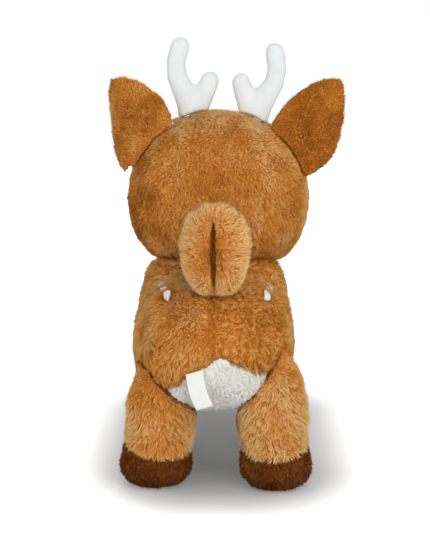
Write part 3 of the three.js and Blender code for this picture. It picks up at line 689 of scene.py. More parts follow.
def middle_lines(root, normal, length, pile, comb, tuft, rng, seed):
    """Points along each lock's middle, from foot to end, and its sideways direction."""
    count, tufts = len(root), tuft.max() + 1
    flow = unit(comb(root)) + pile.sway * waves(root, COMB_WAVE, seed + 2)
    flow = flow + pile.ruffle * rng.normal(size=(tufts, 3))[tuft] + rng.normal(0, 0.15, (count, 3))
    flow = unit(flow - (flow * normal).sum(1, keepdims=True) * normal)
    side = np.cross(normal, flow)
    lift = math.radians(pile.lift) * (1 + 0.15 * waves(root, LIFT_WAVE, seed + 4, 1)[:, 0])
    lift = lift + rng.normal(0, 0.1, count)
    phase = rng.uniform(0, TURN, tufts)[tuft] + rng.normal(0, 0.4, count)
    lines, at = [], root - normal * 0.3 * MM
    for ring in range(STRETCHES + 1):
        winding = np.sin(phase + 4 * (ring / STRETCHES)) - np.sin(phase)
        lines.append(at + side * (pile.curl * length * winding)[:, None])
        angle = lift * (1.15 - 0.5 * (ring + 0.5) / STRETCHES)
        way = normal * np.sin(angle)[:, None] + flow * np.cos(angle)[:, None]
        at = at + way * (length / STRETCHES)[:, None]
    for ring in range(1, STRETCHES + 1):
        drawn = pile.gather * (ring / STRETCHES) ** 1.3
        lines[ring] = lines[ring] + (tuft_means(lines[ring], tuft) - lines[ring]) * drawn
    return lines, side


def lock_mesh(name, lines, side, radius, level, normal):
    """Tapered cones round the lines. The UV map OFBake holds each one's level and the place along it.

    Their shading normals lean towards the cloth's, as light soaks through such fine fibres.
    """
    count = len(level)
    blocks, shading = [], []
    for ring, taper in enumerate(TAPERS):
        along = unit(lines[ring + 1] - lines[ring])
        east = unit(side - (side * along).sum(1, keepdims=True) * along)
        north = np.cross(along, east)
        for turn in range(LOCK_SIDES):
            angle = turn * TURN / LOCK_SIDES
            way = east * math.cos(angle) + north * math.sin(angle)
            blocks.append(lines[ring] + way * (radius * taper)[:, None])
            shading.append(unit(way + 2 * normal))
    blocks.append(lines[-1])
    shading.append(unit(along + 2 * normal))
    end = LOCK_SIDES * STRETCHES
    faces = []
    for start in range(0, end, LOCK_SIDES):
        for turn in range(LOCK_SIDES):
            a, b = start + turn, start + (turn + 1) % LOCK_SIDES
            last = start + LOCK_SIDES == end
            faces.append((a, b, end) if last else (a, b, b + LOCK_SIDES, a + LOCK_SIDES))
    corners = np.concatenate(faces)
    starts = np.cumsum([0] + [len(face) for face in faces[:-1]])
    locks = np.arange(count)[:, None]
    corner = (locks * (end + 1) + corners[None]).ravel()
    start = (locks * len(corners) + starts[None]).ravel()
    mesh = bpy.data.meshes.new(name)
    mesh.vertices.add(count * (end + 1))
    mesh.vertices.foreach_set("co", np.stack(blocks, 1).astype(np.float32).ravel())
    mesh.loops.add(len(corner))
    mesh.loops.foreach_set("vertex_index", corner.astype(np.int32))
    mesh.polygons.add(len(start))
    mesh.polygons.foreach_set("loop_start", start.astype(np.int32))
    mesh.update(calc_edges=True)
    smooth_faces(mesh)
    normals = mesh.attributes.new("custom_normal", "FLOAT_VECTOR", "POINT")
    normals.data.foreach_set("vector", np.stack(shading, 1).astype(np.float32).ravel())
    nudge = np.array([-0.006, 0.0, 0.006] * STRETCHES + [0.0])
    place = np.array([0.02 + 0.96 * (k // LOCK_SIDES) / STRETCHES for k in range(end)] + [0.98])
    uv = np.stack([level[:, None] + nudge[None], np.tile(place, (count, 1))], 2).reshape(-1, 2)[corner]
    layer = mesh.uv_layers.new(name="OFBake")
    layer.uv.foreach_set("vector", uv.astype(np.float32).ravel())
    return mesh


def grow_pile(name, skin, panel, pile, comb, material, seed, clear_of=(), tone=None, trim=None):
    """Locks of pile on one panel, combed along a flow, gathered in tufts and short beside seams.

    clear_of holds (nodes, clearance, fade): no pile grows within the clearance, and past it the pile
    is shorter over the fade, and darker there with a painted shade; tone and trim give, for places
    and their distance from the seam, a change of tone from -0.5 to 0.5 and a share of the length.
    """
    sizes = bpy.context.scene.deer_sizes
    rng = np.random.default_rng(seed)
    root, normal, away = skin.scatter(pile.density * sizes.density, rng)
    mine = away.argmin(1) == panel
    root, normal = root[mine], normal[mine]
    near = np.sort(away[mine], 1)
    rim = near[:, 1] - near[:, 0]
    length = pile.length * (0.62 + 0.38 * np.clip(rim / (4 * MM), 0, 1))
    kept, crease = np.ones(len(root), bool), np.zeros(len(root))
    for nodes, clearance, fade in clear_of:
        gap = distances_to(nodes, root, clearance + fade + MM) - clearance
        kept &= gap > 0
        if fade:
            length *= 0.55 + 0.45 * np.clip(gap / fade, 0, 1)
            crease = np.maximum(crease, bell(gap, fade / 2))
    if trim is not None:
        length = length * trim(root, rim)
    root, normal, length, rim, crease = (values[kept] for values in (root, normal, length, rim, crease))
    tuft = tuft_numbers(root, pile.tuft * MM, seed + 1)
    tufts, count = tuft.max() + 1, len(root)
    length = length * rng.normal(1, 0.12, tufts)[tuft] * rng.uniform(0.82, 1.15, count)
    lines, side = middle_lines(root, normal, length, pile, comb, tuft, rng, seed)
    patches = waves(root, PATCH_WAVE, seed + 6, 1)[:, 0]
    mottle = waves(root, MOTTLE_WAVE, seed + 7, 1)[:, 0]
    level = 0.5 + 0.15 * patches + 0.07 * mottle
    level = level + rng.normal(0, 0.07, tufts)[tuft] + rng.normal(0, 0.08, count)
    # painted shade where the pile tucks in beside the pieces it keeps clear of
    level = level - 0.22 * crease
    if tone is not None:
        level = level + tone(root, rim)
    radius = (pile.width or sizes.lock) / 2 * rng.uniform(0.75, 1.25, count)
    level = np.where(level < -0.3, FOLD_SHADE_TONE, level.clip(LOW_TONE, HIGH_TONE))
    # the lean keeps to the side that the cloth faces, front or back
    lean = np.array(pile.lean) * field(1.0, np.tanh(4 * normal[:, 1]), 1.0)
    lit = unit(normal + lean * np.clip(2.5 * level - 0.25, 0, 1)[:, None])
    return new_object(name, lock_mesh(name, lines, side, radius, level, lit), material)


def tie(piece, body, node=None):
    """Ties a piece to its body, in place of a CAD node where one is named."""
    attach(piece, body)
    if node:
        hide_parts(node)


def dress(names, skin, body, seed, plans, thickness=None):
    """A skin's panels in Blender: cloth and pile of each, tied to a body, in place of the CAD panels.

    plans holds each panel's kind of cloth, its pile, its comb and what else rules how that grows.
    """
    m = materials()
    thickness = thickness or bpy.context.scene.deer_sizes.cloth
    for panel, (name, (kind, pile, comb, rules)) in enumerate(zip(names, plans)):
        cloth = panel_piece(f"{name}_cloth", skin, panel, m[f"{kind}_backing"], thickness)
        fur = grow_pile(f"{name}_pile", skin, panel, pile, comb, m[f"{kind}_pile"], seed + panel, **rules)
        tie(cloth, body, name)
        tie(fur, body)


def toward(*way):
    return lambda points: np.tile(np.array(way, float), (len(points), 1))


# Pieces


def make_body():
    s = bpy.context.scene.deer_sizes
    names = ("body_panel_left", "body_panel_right", "belly_panel")
    skin = made_skin("body_skin", names, ["body_stuffing"], s.spacing, seam=2.6)
    near_spots = [f"spot_{side}_1" for side in SIDES]
    far_spots = [f"spot_{side}_{order}" for side in SIDES for order in (2, 3)]
    legs = ([f"{leg}_leg_stuffing" for leg in LEGS], 2.4 * MM, 6 * MM)
    tail = (["tail_stuffing"], 1.2 * MM, 3 * MM)
    clear = [(near_spots, 1.7 * MM, 4 * MM), (far_spots, 0.25 * MM, 0), legs, tail]
    behind_far_spots = [node_points(name).mean(0) + (0, 9 * MM, 0) for name in far_spots]
    label_low, label_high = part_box("label")

    def comb(points):
        aside = np.sign(points[:, 0] - MIDDLE)
        return field(0.3 * aside, 0.5, -1.0)

    def short_by_seams(points, rim):
        """Short under the label, and beside the pale panel so that its edge shows."""
        inside = (points[:, 0] > label_low.x - 1 * MM) & (points[:, 0] < label_high.x + 1 * MM)
        inside &= (points[:, 2] > label_low.z) & (points[:, 2] < label_high.z + 1 * MM)
        inside &= points[:, 1] > label_low.y - 20 * MM
        low = np.clip((0.14 - points[:, 2]) / 0.02, 0, 1) * bell(rim, 5 * MM)
        low = np.maximum(low, bell(rim, 2.2 * MM) * (points[:, 1] > 0.1))
        ends = np.clip((np.abs(points[:, 0] - MIDDLE) - 12 * MM) / (14 * MM), 0, 1)
        behind = [bell(np.linalg.norm(points - place, axis=1), 6 * MM) for place in behind_far_spots]
        share = 1 + 0.5 * np.max(behind, axis=0) - (0.5 - 0.9 * ends) * low
        return np.where(inside, 0.45, share)

    def short_under_label(points, rim):
        return np.minimum(short_by_seams(points, 1 + rim), 1)

    def uneven(points, rim):
        """Paler where the pile was brushed flat on the left, richer and curlier on the right, and darker
        along the seams: painted shade in their folds.
        """
        aside = (points[:, 0] - MIDDLE) / 0.03
        shoulder = 0.1 * (aside > 0) * bell(points[:, 2] - 0.165, 20 * MM)
        # the band along the seams is painted shade
        return 0.05 * np.tanh(aside) + 0.06 - 0.5 * bell(rim, 2.6 * MM) + shoulder

    def bright(points, rim):
        # painted light: the pale panel under the tail gets a higher tone to make up for the shade it lies in
        return np.full(len(rim), 0.3)

    left = Pile(s.body_pile, lift=48, ruffle=0.32, curl=0.14, tuft=3, gather=0.34)
    right = Pile(s.body_pile, lift=54, ruffle=0.85, curl=0.26, tuft=3.6, gather=0.58)
    cream = Pile(s.cream_pile, density=1.0, lift=44, sway=0.8, ruffle=0.6, curl=0.2, lean=(0, 0.7, 0.7))
    back = {"clear_of": clear, "trim": short_by_seams, "tone": uneven}
    belly = {"clear_of": [legs], "trim": short_under_label, "tone": bright}
    plans = (
        ("brown", left, comb, back),
        ("brown", right, comb, back),
        ("cream", cream, toward(0.1, 0.4, -0.6), belly),
    )
    dress(names, skin, "torso", SEEDS["body"], plans)


def make_legs():
    s = bpy.context.scene.deer_sizes
    torso = [(["body_stuffing"], 3.2 * MM, 5 * MM)]
    cover = Pile(s.leg_pile, lift=46, ruffle=0.32, curl=0.14, tuft=2.8, gather=0.2, lean=(0, 0.2, 0.5))
    hoof = Pile(s.hoof_pile, density=0.95, lift=48, tuft=3)
    sole = Pile(1.6 * MM, density=0.3, lift=20, tuft=3)
    for order, leg in enumerate(LEGS):
        names = (f"{leg}_leg_cover", f"{leg}_hoof_cover", f"{leg}_sole")
        skin = made_skin(f"{leg}_skin", names, [f"{leg}_leg_stuffing"], s.spacing * 0.85, cap=1.8)
        low, high, middle, half = box_of(names[0])
        # the outer side is drawn in, most at the top
        outer = np.clip(skin.normals[:, 0] * np.sign(middle[0] - MIDDLE), 0, 1)
        above = 1 + 1.8 * np.clip((skin.points[:, 2] - 60 * MM) / (45 * MM), 0, 1)
        skin.place(skin.points - skin.normals * (1.6 * MM * outer * above)[:, None])
        parting = 0.35 if leg == "hind_right" else 0.15

        def comb(points):
            out = (points - middle) / half
            aside = parting * np.tanh(4 * out[:, 0]) + 0.2 * out[:, 0]
            return field(aside, 0.1 * out[:, 1], -1.0)

        def paler_below(points, rim):
            below = np.clip(1 - (points[:, 2] - low[2]) / 0.075, 0, 1)
            return 0.34 * below + (0.2 if "right" in leg else 0.0)

        def long_over_hoof(points, rim):
            """Long where it hangs over the hoof, short at the top where the leg joins the body."""
            top = np.clip((points[:, 2] - high[2] + 34 * MM) / (26 * MM), 0, 1)
            return (1.3 - 0.3 * np.clip(rim / (5 * MM), 0, 1)) * (1 - 0.45 * top)

        plans = (
            ("brown", cover, comb, {"clear_of": torso, "tone": paler_below, "trim": long_over_hoof}),
            ("hoof", hoof, comb, {}),
            ("hoof", sole, toward(0, 1, 0), {}),
        )
        dress(names, skin, "torso", SEEDS["legs"] + 3 * order, plans)


def make_head():
    s = bpy.context.scene.deer_sizes
    names = ("head_panel_left", "head_panel_right", "head_gusset", "muzzle_panel")
    skin = made_skin("head_skin", names, ["head_stuffing", "muzzle_stuffing"], s.spacing, seam=1.2)
    # drawn in beside the neck, so that the head turns free of the shoulders
    shoulders = distances_to(["body_panel_left", "body_panel_right", "body_stuffing"], skin.points, 12 * MM)
    skin.place(skin.points - skin.normals * (2 * MM * bell(shoulders, 6 * MM))[:, None])
    middle = np.array([0.009, box_of("head_gusset")[2][1], 0.205])
    ears = [f"ear_{part}_{side}" for part in ("back", "lining") for side in SIDES]
    antlers = [f"antler_stuffing_{side}" for side in SIDES]
    clear = [
        (ears, 0.8 * MM, 4 * MM),
        (antlers, 0.6 * MM, 0),
        (["eye_left", "eye_right"], 1.2 * MM, 3 * MM),
        (["nose"], 0.8 * MM, 3 * MM),
        (["mouth_stitch"], 0.8 * MM, 3 * MM),
    ]

    def comb(points):
        out = points - middle
        return field(3.0 * out[:, 0], 0.4, -0.8)

    def muzzle_comb(points):
        out = points - (middle + np.array([0, -0.1, -0.01]))
        return unit(out) + np.array([0, 0.9, -0.2])

    def beside_seams(points, rim):
        """Paler bands along the gusset's seams and round the antlers, and painted light that pales the right
        cheek, on the key lamp's side, and shades the left.
        """
        upright = (points[:, 2] - middle[2]) / 0.07
        bands = 0.24 * bell(rim, 11 * MM) * np.clip(2 * upright + 1, 0, 1)
        edge = 0.4 * bell(distances_to(antlers, points, 8 * MM), 3 * MM)
        # painted light and shade: paler towards the deer's right, darker towards its left
        level = bands + edge - 1.5 * (points[:, 0] - middle[0])
        return level + 0.34 * upright**2 + 0.2 * np.clip(-upright - 0.4, 0, 1) - 0.1

    def short_by_antlers(points, rim):
        return 1 - 0.15 * bell(distances_to(antlers, points, 12 * MM), 4 * MM)

    pile = Pile(s.head_pile, density=0.95, lift=50, ruffle=0.36, tuft=2.2, gather=0.22)
    short = Pile(s.short_pile, 1.1, lift=50, ruffle=0.4, tuft=2.4, width=0.5 * MM, lean=(0, 0.3, 0.7))
    cover = ("brown", pile, comb, {"clear_of": clear, "tone": beside_seams, "trim": short_by_antlers})
    muzzle = ("cream", short, muzzle_comb, {"clear_of": clear})
    dress(names, skin, "head", SEEDS["head"], (cover, cover, cover, muzzle))


def make_ears():
    s = bpy.context.scene.deer_sizes
    back = Pile(s.ear_pile, density=1.05, lift=52, ruffle=0.32, tuft=2.2, gather=0.2)
    lining = Pile(s.short_pile, 1.1, lift=45, ruffle=0.3, tuft=2.4, width=0.5 * MM, lean=(0, 0, 0.5))
    head = [(["head_stuffing"], 3.2 * MM, 4 * MM)]
    for order, side in enumerate(SIDES):
        names = (f"ear_back_{side}", f"ear_lining_{side}")
        skin = made_skin(
            f"ear_{side}_skin", names, [], 2.4 * MM, cap=1.2, seam=0.3, reach=3, rounds=6, shrink=0.2
        )
        root = np.array(JOINTS[f"ear_bend_{side}"]["pos_m"])
        comb = toward(*unit(skin.points.mean(0) - root))
        if side == "left":
            # its lower lobe is the fuller one
            low = skin.points[skin.points[:, 2].argmin()]
            low = low + unit(root - low) * 6 * MM
            near = bell(np.linalg.norm(skin.points - low, axis=1), 26 * MM)
            skin.place(skin.points + np.outer(near, (4 * MM, 0, -6.5 * MM)))

        def darker_root(points, rim):
            near = bell(np.linalg.norm(points - root, axis=1), 0.04)
            # darker towards the root: painted shade where the ear meets the head; the right ear is darker
            # all over
            return 0.01 - 0.3 * near - (0.36 if side == "right" else 0)

        plans = (
            ("brown", back, comb, {"clear_of": head, "tone": darker_root}),
            ("cream", lining, comb, {"clear_of": head}),
        )
        dress(names, skin, f"ear_{side}", SEEDS["ears"] + 2 * order, plans, thickness=0.8 * MM)


def make_antlers():
    for side in SIDES:
        names, filling = (f"antler_front_{side}", f"antler_back_{side}"), [f"antler_stuffing_{side}"]
        plane = (Vector(JOINTS[f"antler_bend_{side}"]["pos_m"]), Vector((0, 1, 0)))
        sizes = {"cap": 0.9, "seam": 0.6, "reach": 1.6, "rounds": 8, "shrink": 0.2}
        skin = made_skin(f"antler_{side}_skin", names, filling, 2.2 * MM, plane=plane, **sizes)
        # the base sinks a little way into the pile round it
        sunk = bell(skin.points[:, 2] - skin.points[:, 2].min(), 7 * MM)
        skin.place(skin.points - np.outer(sunk, (0, 0, 1 * MM)))
        for panel, name in enumerate(names):
            piece = panel_piece(f"{name}_cloth", skin, panel, materials()["velboa"], 0.9 * MM)
            tie(piece, f"antler_{side}", name)


def tail_fold(points):
    """Depth share of the fold between the tail's lobes: a gentle left wall and a steep right one."""
    middle, half = box_of("tail_back_panel")[2:]
    aside = points[:, 0] - middle[0] - 0.5 * MM
    along = (points[:, 2] - middle[2] + 3 * MM) / half[2]
    ends = np.clip(1.2 - (np.abs(along) / 0.8) ** 4, 0, 1)
    return bell(aside, np.where(aside > 0, 4.4 * MM, 2.2 * MM)) * ends, bell(aside, 12 * MM) * ends


def fold_tail(points, normals, deeper=0.0):
    """Rounds the tail's lower corners and presses the fold into the side that shows."""
    middle, half = box_of("tail_back_panel")[2:]
    out = (points - middle) / half
    reach = np.hypot(out[:, 0], out[:, 2])
    drawn = np.where(out[:, 2] < 0, 0.8 * np.clip(reach - 0.93, 0, None) / np.maximum(reach, 0.1), 0)
    points = points - (points - middle) * drawn[:, None] * np.array([1, 0, 1])
    sharp, wide = tail_fold(points)
    press = (sharp * (12 * MM + deeper) + wide * 2.5 * MM) * (normals[:, 1] > 0.1)
    return points - np.outer(press, [0, 1, 0])


def make_tail():
    s = bpy.context.scene.deer_sizes
    names = ("tail_back_panel", "tail_front_panel")
    sizes = {"cap": 1.0, "seam": 0.5, "rounds": 6, "shrink": 0.5}
    skin = made_skin("tail_skin", names, ["tail_stuffing"], 2.4 * MM, **sizes)
    low, high = skin.points.min(0), skin.points.max(0)
    middle, half = (low + high) / 2, (high - low) / 2
    skin.place(smoothed(fold_tail(skin.points, skin.normals), edges_of(skin.mesh), 2))

    def comb(points):
        return unit((points - middle) * np.array([1.5, 0.3, 1.0])) + np.array([0, 0.1, 0.3])

    def tone(points, rim):
        out = (points - middle) / half
        # paler towards the rim: painted light soaking through the thin pile at its edge
        pale = 0.5 * np.clip(np.hypot(out[:, 0], out[:, 2]) - 0.5, -0.2, 0.6)
        # darker in the fold between the lobes: painted shade
        return 0.27 + pale - 1.5 * tail_fold(points)[0] ** 1.5

    def trim(points, rim):
        """Long round the edge, short in the fold and at the lower corners, which stay round."""
        out = (points - middle) / half
        corner = np.clip(np.hypot(out[:, 0], out[:, 2]) - 0.86, 0, 0.3) * (out[:, 2] < 0)
        long_rim = 1.6 - 0.6 * np.clip(rim / (4 * MM), 0, 1)
        return (long_rim - 2 * corner) * (1 - 0.85 * np.sqrt(tail_fold(points)[0]))

    look = {"density": 1.5, "lift": 60, "ruffle": 0.3, "gather": 0.22, "tuft": 2.4, "width": 0.48 * MM}
    pile = Pile(s.tail_pile, lean=(0, 0.9, 0.4), **look)
    rules = {"clear_of": [(["body_stuffing"], 1.5 * MM, 4 * MM)], "tone": tone, "trim": trim}
    dress(names, skin, "tail", SEEDS["tail"], [("brown", pile, comb, rules)] * 2)


def make_spots():
    m = materials()
    pile = Pile(1 * MM, density=2.4, lift=40, tuft=2, width=0.45 * MM, lean=(0, 0.3, 0.6))
    for order, side in enumerate(SIDES):
        for number in (1, 2, 3):
            name = f"spot_{side}_{number}"
            mesh = skin_round(name, [name], 0.8 * MM, 6, 0.2)
            # the first of each side stands up to the ends of the brown pile, the others less
            height = 3 * MM if number == 1 else 0.8 * MM
            raised = np.clip(normals_of(mesh) @ unit(np.array([0, 0.4, 1.0])), 0, 1)
            set_coordinates(mesh, coordinates(mesh) + np.outer(raised, (0, 0.3 * height, height)))
            smooth_faces(mesh)
            skin = Skin(mesh, [name, f"body_panel_{side}"])
            # the nap grows on the upper side alone
            skin.away[:, 0] = np.where(skin.normals[:, 1:].sum(1) > 0.2, 0, 1)
            skin.away[:, 1] = 0.5
            tie(new_object(f"{name}_cloth", mesh, m["spot"]), "torso", name)
            seed = SEEDS["spots"] + 3 * order + number
            nap = grow_pile(f"{name}_nap", skin, 0, pile, toward(0, 0.6, -1), m["white_pile"], seed)
            tie(nap, "torso")


def make_filling():
    bodies = {"body_stuffing": "torso"}
    bodies.update({"head_stuffing": "head", "muzzle_stuffing": "head", "tail_stuffing": "tail"})
    bodies.update({f"{leg}_leg_stuffing": "torso" for leg in LEGS})
    bodies.update({f"antler_stuffing_{side}": f"antler_{side}" for side in SIDES})
    for order, (node, body) in enumerate(bodies.items()):
        small = node.startswith(("antler", "tail", "muzzle"))
        mesh = skin_round(node, [node], (3 if small else 6) * MM, 4, 0)
        co = coordinates(mesh)
        lumps = 0.6 * waves(co, 0.018, SEEDS["filling"] + order, 1)[:, 0] - (1.2 if small else 3.6)
        co = co + normals_of(mesh) * (lumps * MM)[:, None]
        if body == "tail":
            co = fold_tail(co, normals_of(mesh), 1.5 * MM)
        set_coordinates(mesh, co)
        smooth_faces(mesh)
        piece = new_object(node.replace("stuffing", "fibre_filling"), mesh, materials()["fibre"])
        tie(piece, body, node)


def lathe(name, profile, origin, axis, material, steps=48):
    """Turned piece: profile points are (radius, height) along the axis from its origin."""
    turn = Vector((0, 0, 1)).rotation_difference(axis)
    points, faces = [], []
    for radius, height in profile:
        for step in range(steps):
            angle = TURN * step / steps
            ring = Vector((radius * math.cos(angle), radius * math.sin(angle), height))
            points.append(origin + turn @ ring)
    last = (len(profile) - 1) * steps
    for row in range(0, last, steps):
        for step in range(steps):
            a, b = row + step, row + (step + 1) % steps
            faces.append((a, b, b + steps, a + steps))
    faces.append(tuple(reversed(range(steps))))
    faces.append(tuple(range(last, last + steps)))
    return new_object(name, mesh_of(name, points, faces), material)


def make_eyes():
    m = materials()
    for side in SIDES:
        eye, washer = node_points(f"eye_{side}"), node_points(f"eye_washer_{side}")
        origin = Vector(washer.mean(0))
        axis = (Vector(eye.mean(0)) - origin).normalized()
        along = (eye - np.array(origin)) @ np.array(axis)
        wide = np.linalg.norm((eye - np.array(origin)) - along[:, None] * np.array(axis), axis=1)
        top, foot, radius = along.max(), along.min(), wide.max()
        rim = top - 5 * MM
        # a shank with a rounded foot, then the dome
        shank = [(0.4 * MM, foot), (1.8 * MM, foot + 0.4 * MM), (2 * MM, rim - 0.4 * MM)]
        profile = [*shank, (radius * 0.9, rim - 0.3 * MM)]
        dome = top - rim - 0.8 * MM
        for turn in np.linspace(0, math.pi / 2 * 0.985, 14):
            profile.append((radius * math.cos(turn), rim + 0.8 * MM + dome * math.sin(turn)))
        piece = lathe(f"eye_{side}_dome", profile, origin, axis, m["eye"])
        tie(piece, "head", f"eye_{side}")
        washer_mesh = frame["nodes"][f"eye_washer_{side}"].data
        washer_mesh.materials.clear()
        washer_mesh.materials.append(m["washer"])


def make_nose():
    m = materials()
    pad = subdivided(skin_round("nose", ["nose"], 1.3 * MM, 8, 0.2))
    thread = subdivided(frame["nodes"]["mouth_stitch"].data.copy())
    for mesh in (pad, thread):
        smooth_faces(mesh)
    tie(new_object("nose_pad", pad, m["nose"]), "head", "nose")
    tie(new_object("mouth_thread", thread, m["thread"]), "head", "mouth_stitch")


def make_label():
    """Ribbon folded in two, both ends in the seam, hanging in a slight bow."""
    joint = JOINTS["label_lift"]
    across, top = np.array(joint["axis"]), np.array(joint["pos_m"])
    along = node_points("label").mean(0) - top
    along = unit(along - (along @ across) * across)
    out = np.cross(across, along)
    if out[1] < 0:
        out = -out
    width, length, thick = 13.5 * MM, 29 * MM, 0.25 * MM
    bow, sideways, crown, twist = 2.4 * MM, 1.3 * MM, 0.35 * MM, 1.6 * MM
    steps = 24
    line = []
    for layer, ends in ((0.7 * MM, np.linspace(0, 1, steps)), (0.15 * MM, np.linspace(1, 0, steps))):
        for share in ends:
            lift = layer * (0.35 + 0.65 * math.sin(share * math.pi * 0.9)) + bow * math.sin(share * math.pi)
            line.append((share * length, lift))
    co, faces = [], []
    rows = len(line)
    # across the ribbon, from edge to edge: its two selvedges are thicker
    places = (-1, -0.94, 0, 0.94, 1)
    wide = len(places)
    for number, (run, lift) in enumerate(line):
        before, after = line[max(number - 1, 0)], line[min(number + 1, rows - 1)]
        slope = unit(np.array([after[0] - before[0], after[1] - before[1]]))
        normal = np.array([-slope[1], slope[0]]) * (1 if number < steps else -1)
        share = run / length
        for face in (1, -1):
            for edge in places:
                rib = thick * (1.5 if abs(edge) > 0.9 else 1) / 2 * face
                curve = crown * (1 - edge**2) + twist * (1 - edge) * share**2
                bowed = sideways * math.sin(share * math.pi) * np.sign(across[0])
                base = top + along * (run + normal[0] * rib) + out * (lift + curve + normal[1] * rib)
                co.append(base + across * (edge * width / 2 + bowed))
    last = (rows - 1) * 2 * wide
    for a in range(0, last, 2 * wide):
        b = a + 2 * wide
        for k in range(wide - 1):
            c, d = a + wide + k, b + wide + k
            faces.append((a + k, a + k + 1, b + k + 1, b + k))
            faces.append((c, d, d + 1, c + 1))
        faces.append((a, b, b + wide, a + wide))
        faces.append((a + wide - 1, a + 2 * wide - 1, b + 2 * wide - 1, b + wide - 1))
    for end in (0, last):
        faces += [(end + k, end + wide + k, end + wide + 1 + k, end + 1 + k) for k in range(wide - 1)]
    mesh = mesh_of("ribbon_label", co, faces)
    edited(mesh, lambda bm: bmesh.ops.recalc_face_normals(bm, faces=bm.faces))
    piece = new_object("ribbon_label", mesh, materials()["satin"])
    tie(piece, "label", "label")


# Studio


def camera_sight(tree, *others):
    """1 where the camera, or a ray of the other named kinds, looks straight at the surface."""
    path = add_node(tree, "ShaderNodeLightPath")
    seen = path.outputs["Is Camera Ray"]
    for other in others:
        link = {0: seen, 1: path.outputs[other]}
        seen = add_node(tree, "ShaderNodeMath", {"operation": "MAXIMUM"}, link).outputs[0]
    return seen


def floor_material(paper, shade):
    """White paper roll, matt, with a painted shadow where the deer stands over it.

    Elsewhere it lights itself a little for the camera, so that the open floor is as white as the photo's.
    """
    material, tree, shader = new_material("white_studio_paper", 0.9, 0.05)
    place = add_node(tree, "ShaderNodeTexCoord").outputs["Object"]
    # the deer's footprint: its middle, how much shorter the shade falls off aside, half its size
    for operation, value in (
        ("SUBTRACT", (0.006, -0.045, 0.0)),
        ("MULTIPLY", (1.5, 1.0, 1.0)),
        ("ABSOLUTE", None),
        ("SUBTRACT", (0.028, 0.1, 0.0)),
        ("MAXIMUM", (0.0, 0.0, 0.0)),
    ):
        values = {1: value} if value else {}
        settings = {"operation": operation}
        place = add_node(tree, "ShaderNodeVectorMath", settings, {0: place}, values).outputs["Vector"]
    far = add_node(tree, "ShaderNodeVectorMath", {"operation": "LENGTH"}, {0: place}).outputs["Value"]
    # the shade ends 165 mm from the footprint
    away = add_node(tree, "ShaderNodeMapRange", links={"Value": far}, values={"From Max": 0.165})
    links = {"Fac": away.outputs["Result"]}
    fall = ((0.0, 0.0), (0.22, 0.07), (0.45, 0.2), (0.62, 0.38), (0.76, 0.62), (0.9, 0.87), (1.0, 1.0))
    # painted shadow: the paper's colour falls to the shade colour over the deer's footprint
    stops = [(at, mixed(shade, paper, share)) for at, share in fall]
    ramp = add_node(tree, "ShaderNodeValToRGB", links=links, stops=stops)
    tree.links.new(ramp.outputs["Color"], shader.inputs["Base Color"])
    # the glow fades over the footprint too, keeping the painted shadow dark
    stops = [(at, (0.1 + 0.5 * share,) * 3) for at, share in fall]
    glow = add_node(tree, "ShaderNodeValToRGB", links=links, stops=stops)
    light = add_node(tree, "ShaderNodeEmission", links={"Color": glow.outputs["Color"]})
    dark = add_node(tree, "ShaderNodeEmission", values={"Strength": 0.0})
    seen = camera_sight(tree, "Is Glossy Ray", "Is Transmission Ray")
    shown = add_node(tree, "ShaderNodeMixShader", links={0: seen, 1: dark.outputs[0], 2: light.outputs[0]})
    both = add_node(tree, "ShaderNodeAddShader", links={0: shader.outputs[0], 1: shown.outputs[0]})
    tree.links.new(both.outputs[0], tree.nodes["Material Output"].inputs["Surface"])
    return material


def aimed(name, data, place, way):
    """Puts a lamp or camera in its place, looking along a direction."""
    obj = new_object(name, data)
    obj.location = place
    obj.rotation_euler = way.to_track_quat("-Z", "Y").to_euler()
    return obj


def add_lamp(name, place, size, power):
    data = bpy.data.lights.new(name, "AREA")
    data.shape = "DISK"
    data.size = size
    data.energy = power
    aimed(name, data, place, Vector((0, 0.05, 0.15)) - Vector(place))


def make_stage():
    """White floor that keeps the shadow, soft lamps and the camera behind the deer."""
    c = bpy.context.scene.deer_colours
    far = 30.0
    corners = [(-far, -far, 0), (far, -far, 0), (far, far, 0), (-far, far, 0)]
    floor = mesh_of("floor", corners, [(0, 1, 2, 3)])
    new_object("floor", floor, floor_material(c.floor, c.shade))

    world = bpy.data.worlds.new("studio")
    bpy.context.scene.world = world
    world.use_nodes = True
    tree = world.node_tree
    back = tree.nodes["Background"]
    back.inputs["Color"].default_value = (1, 1, 1, 1)
    back.inputs["Strength"].default_value = 0.45
    white = add_node(tree, "ShaderNodeBackground", values={"Color": (1, 1, 1, 1), "Strength": 1.0})
    seen = camera_sight(tree, "Is Transmission Ray")
    mix = add_node(tree, "ShaderNodeMixShader", links={0: seen, 1: back.outputs[0], 2: white.outputs[0]})
    tree.links.new(mix.outputs[0], tree.nodes["World Output"].inputs["Surface"])

    add_lamp("key_softbox", (-0.7, 1.9, 1.1), 1.6, 24)
    add_lamp("fill_softbox", (1.3, 1.5, 0.8), 1.2, 5)
    add_lamp("face_softbox", (0.4, -1.8, 1.4), 1.2, 17)

    # the photograph's lens: the picture is 537 lines high, and as seen from 1962 lines away
    sensor, picture_lines, focal_lines = 24, 537, 1962
    data = bpy.data.cameras.new("photo_camera")
    data.sensor_fit = "VERTICAL"
    data.sensor_height = sensor
    data.lens = sensor * focal_lines / picture_lines
    azimuth, elevation, distance = math.radians(180.6), math.radians(9), 1.55
    flat = math.cos(elevation)
    way = Vector((flat * math.sin(azimuth), -flat * math.cos(azimuth), math.sin(elevation)))
    target = Vector((0.0104, 0.09, 0.172))
    bpy.context.scene.camera = aimed("photo_camera", data, target + distance * way, -way)
    bpy.context.scene.view_settings.view_transform = "Standard"


# Add-on


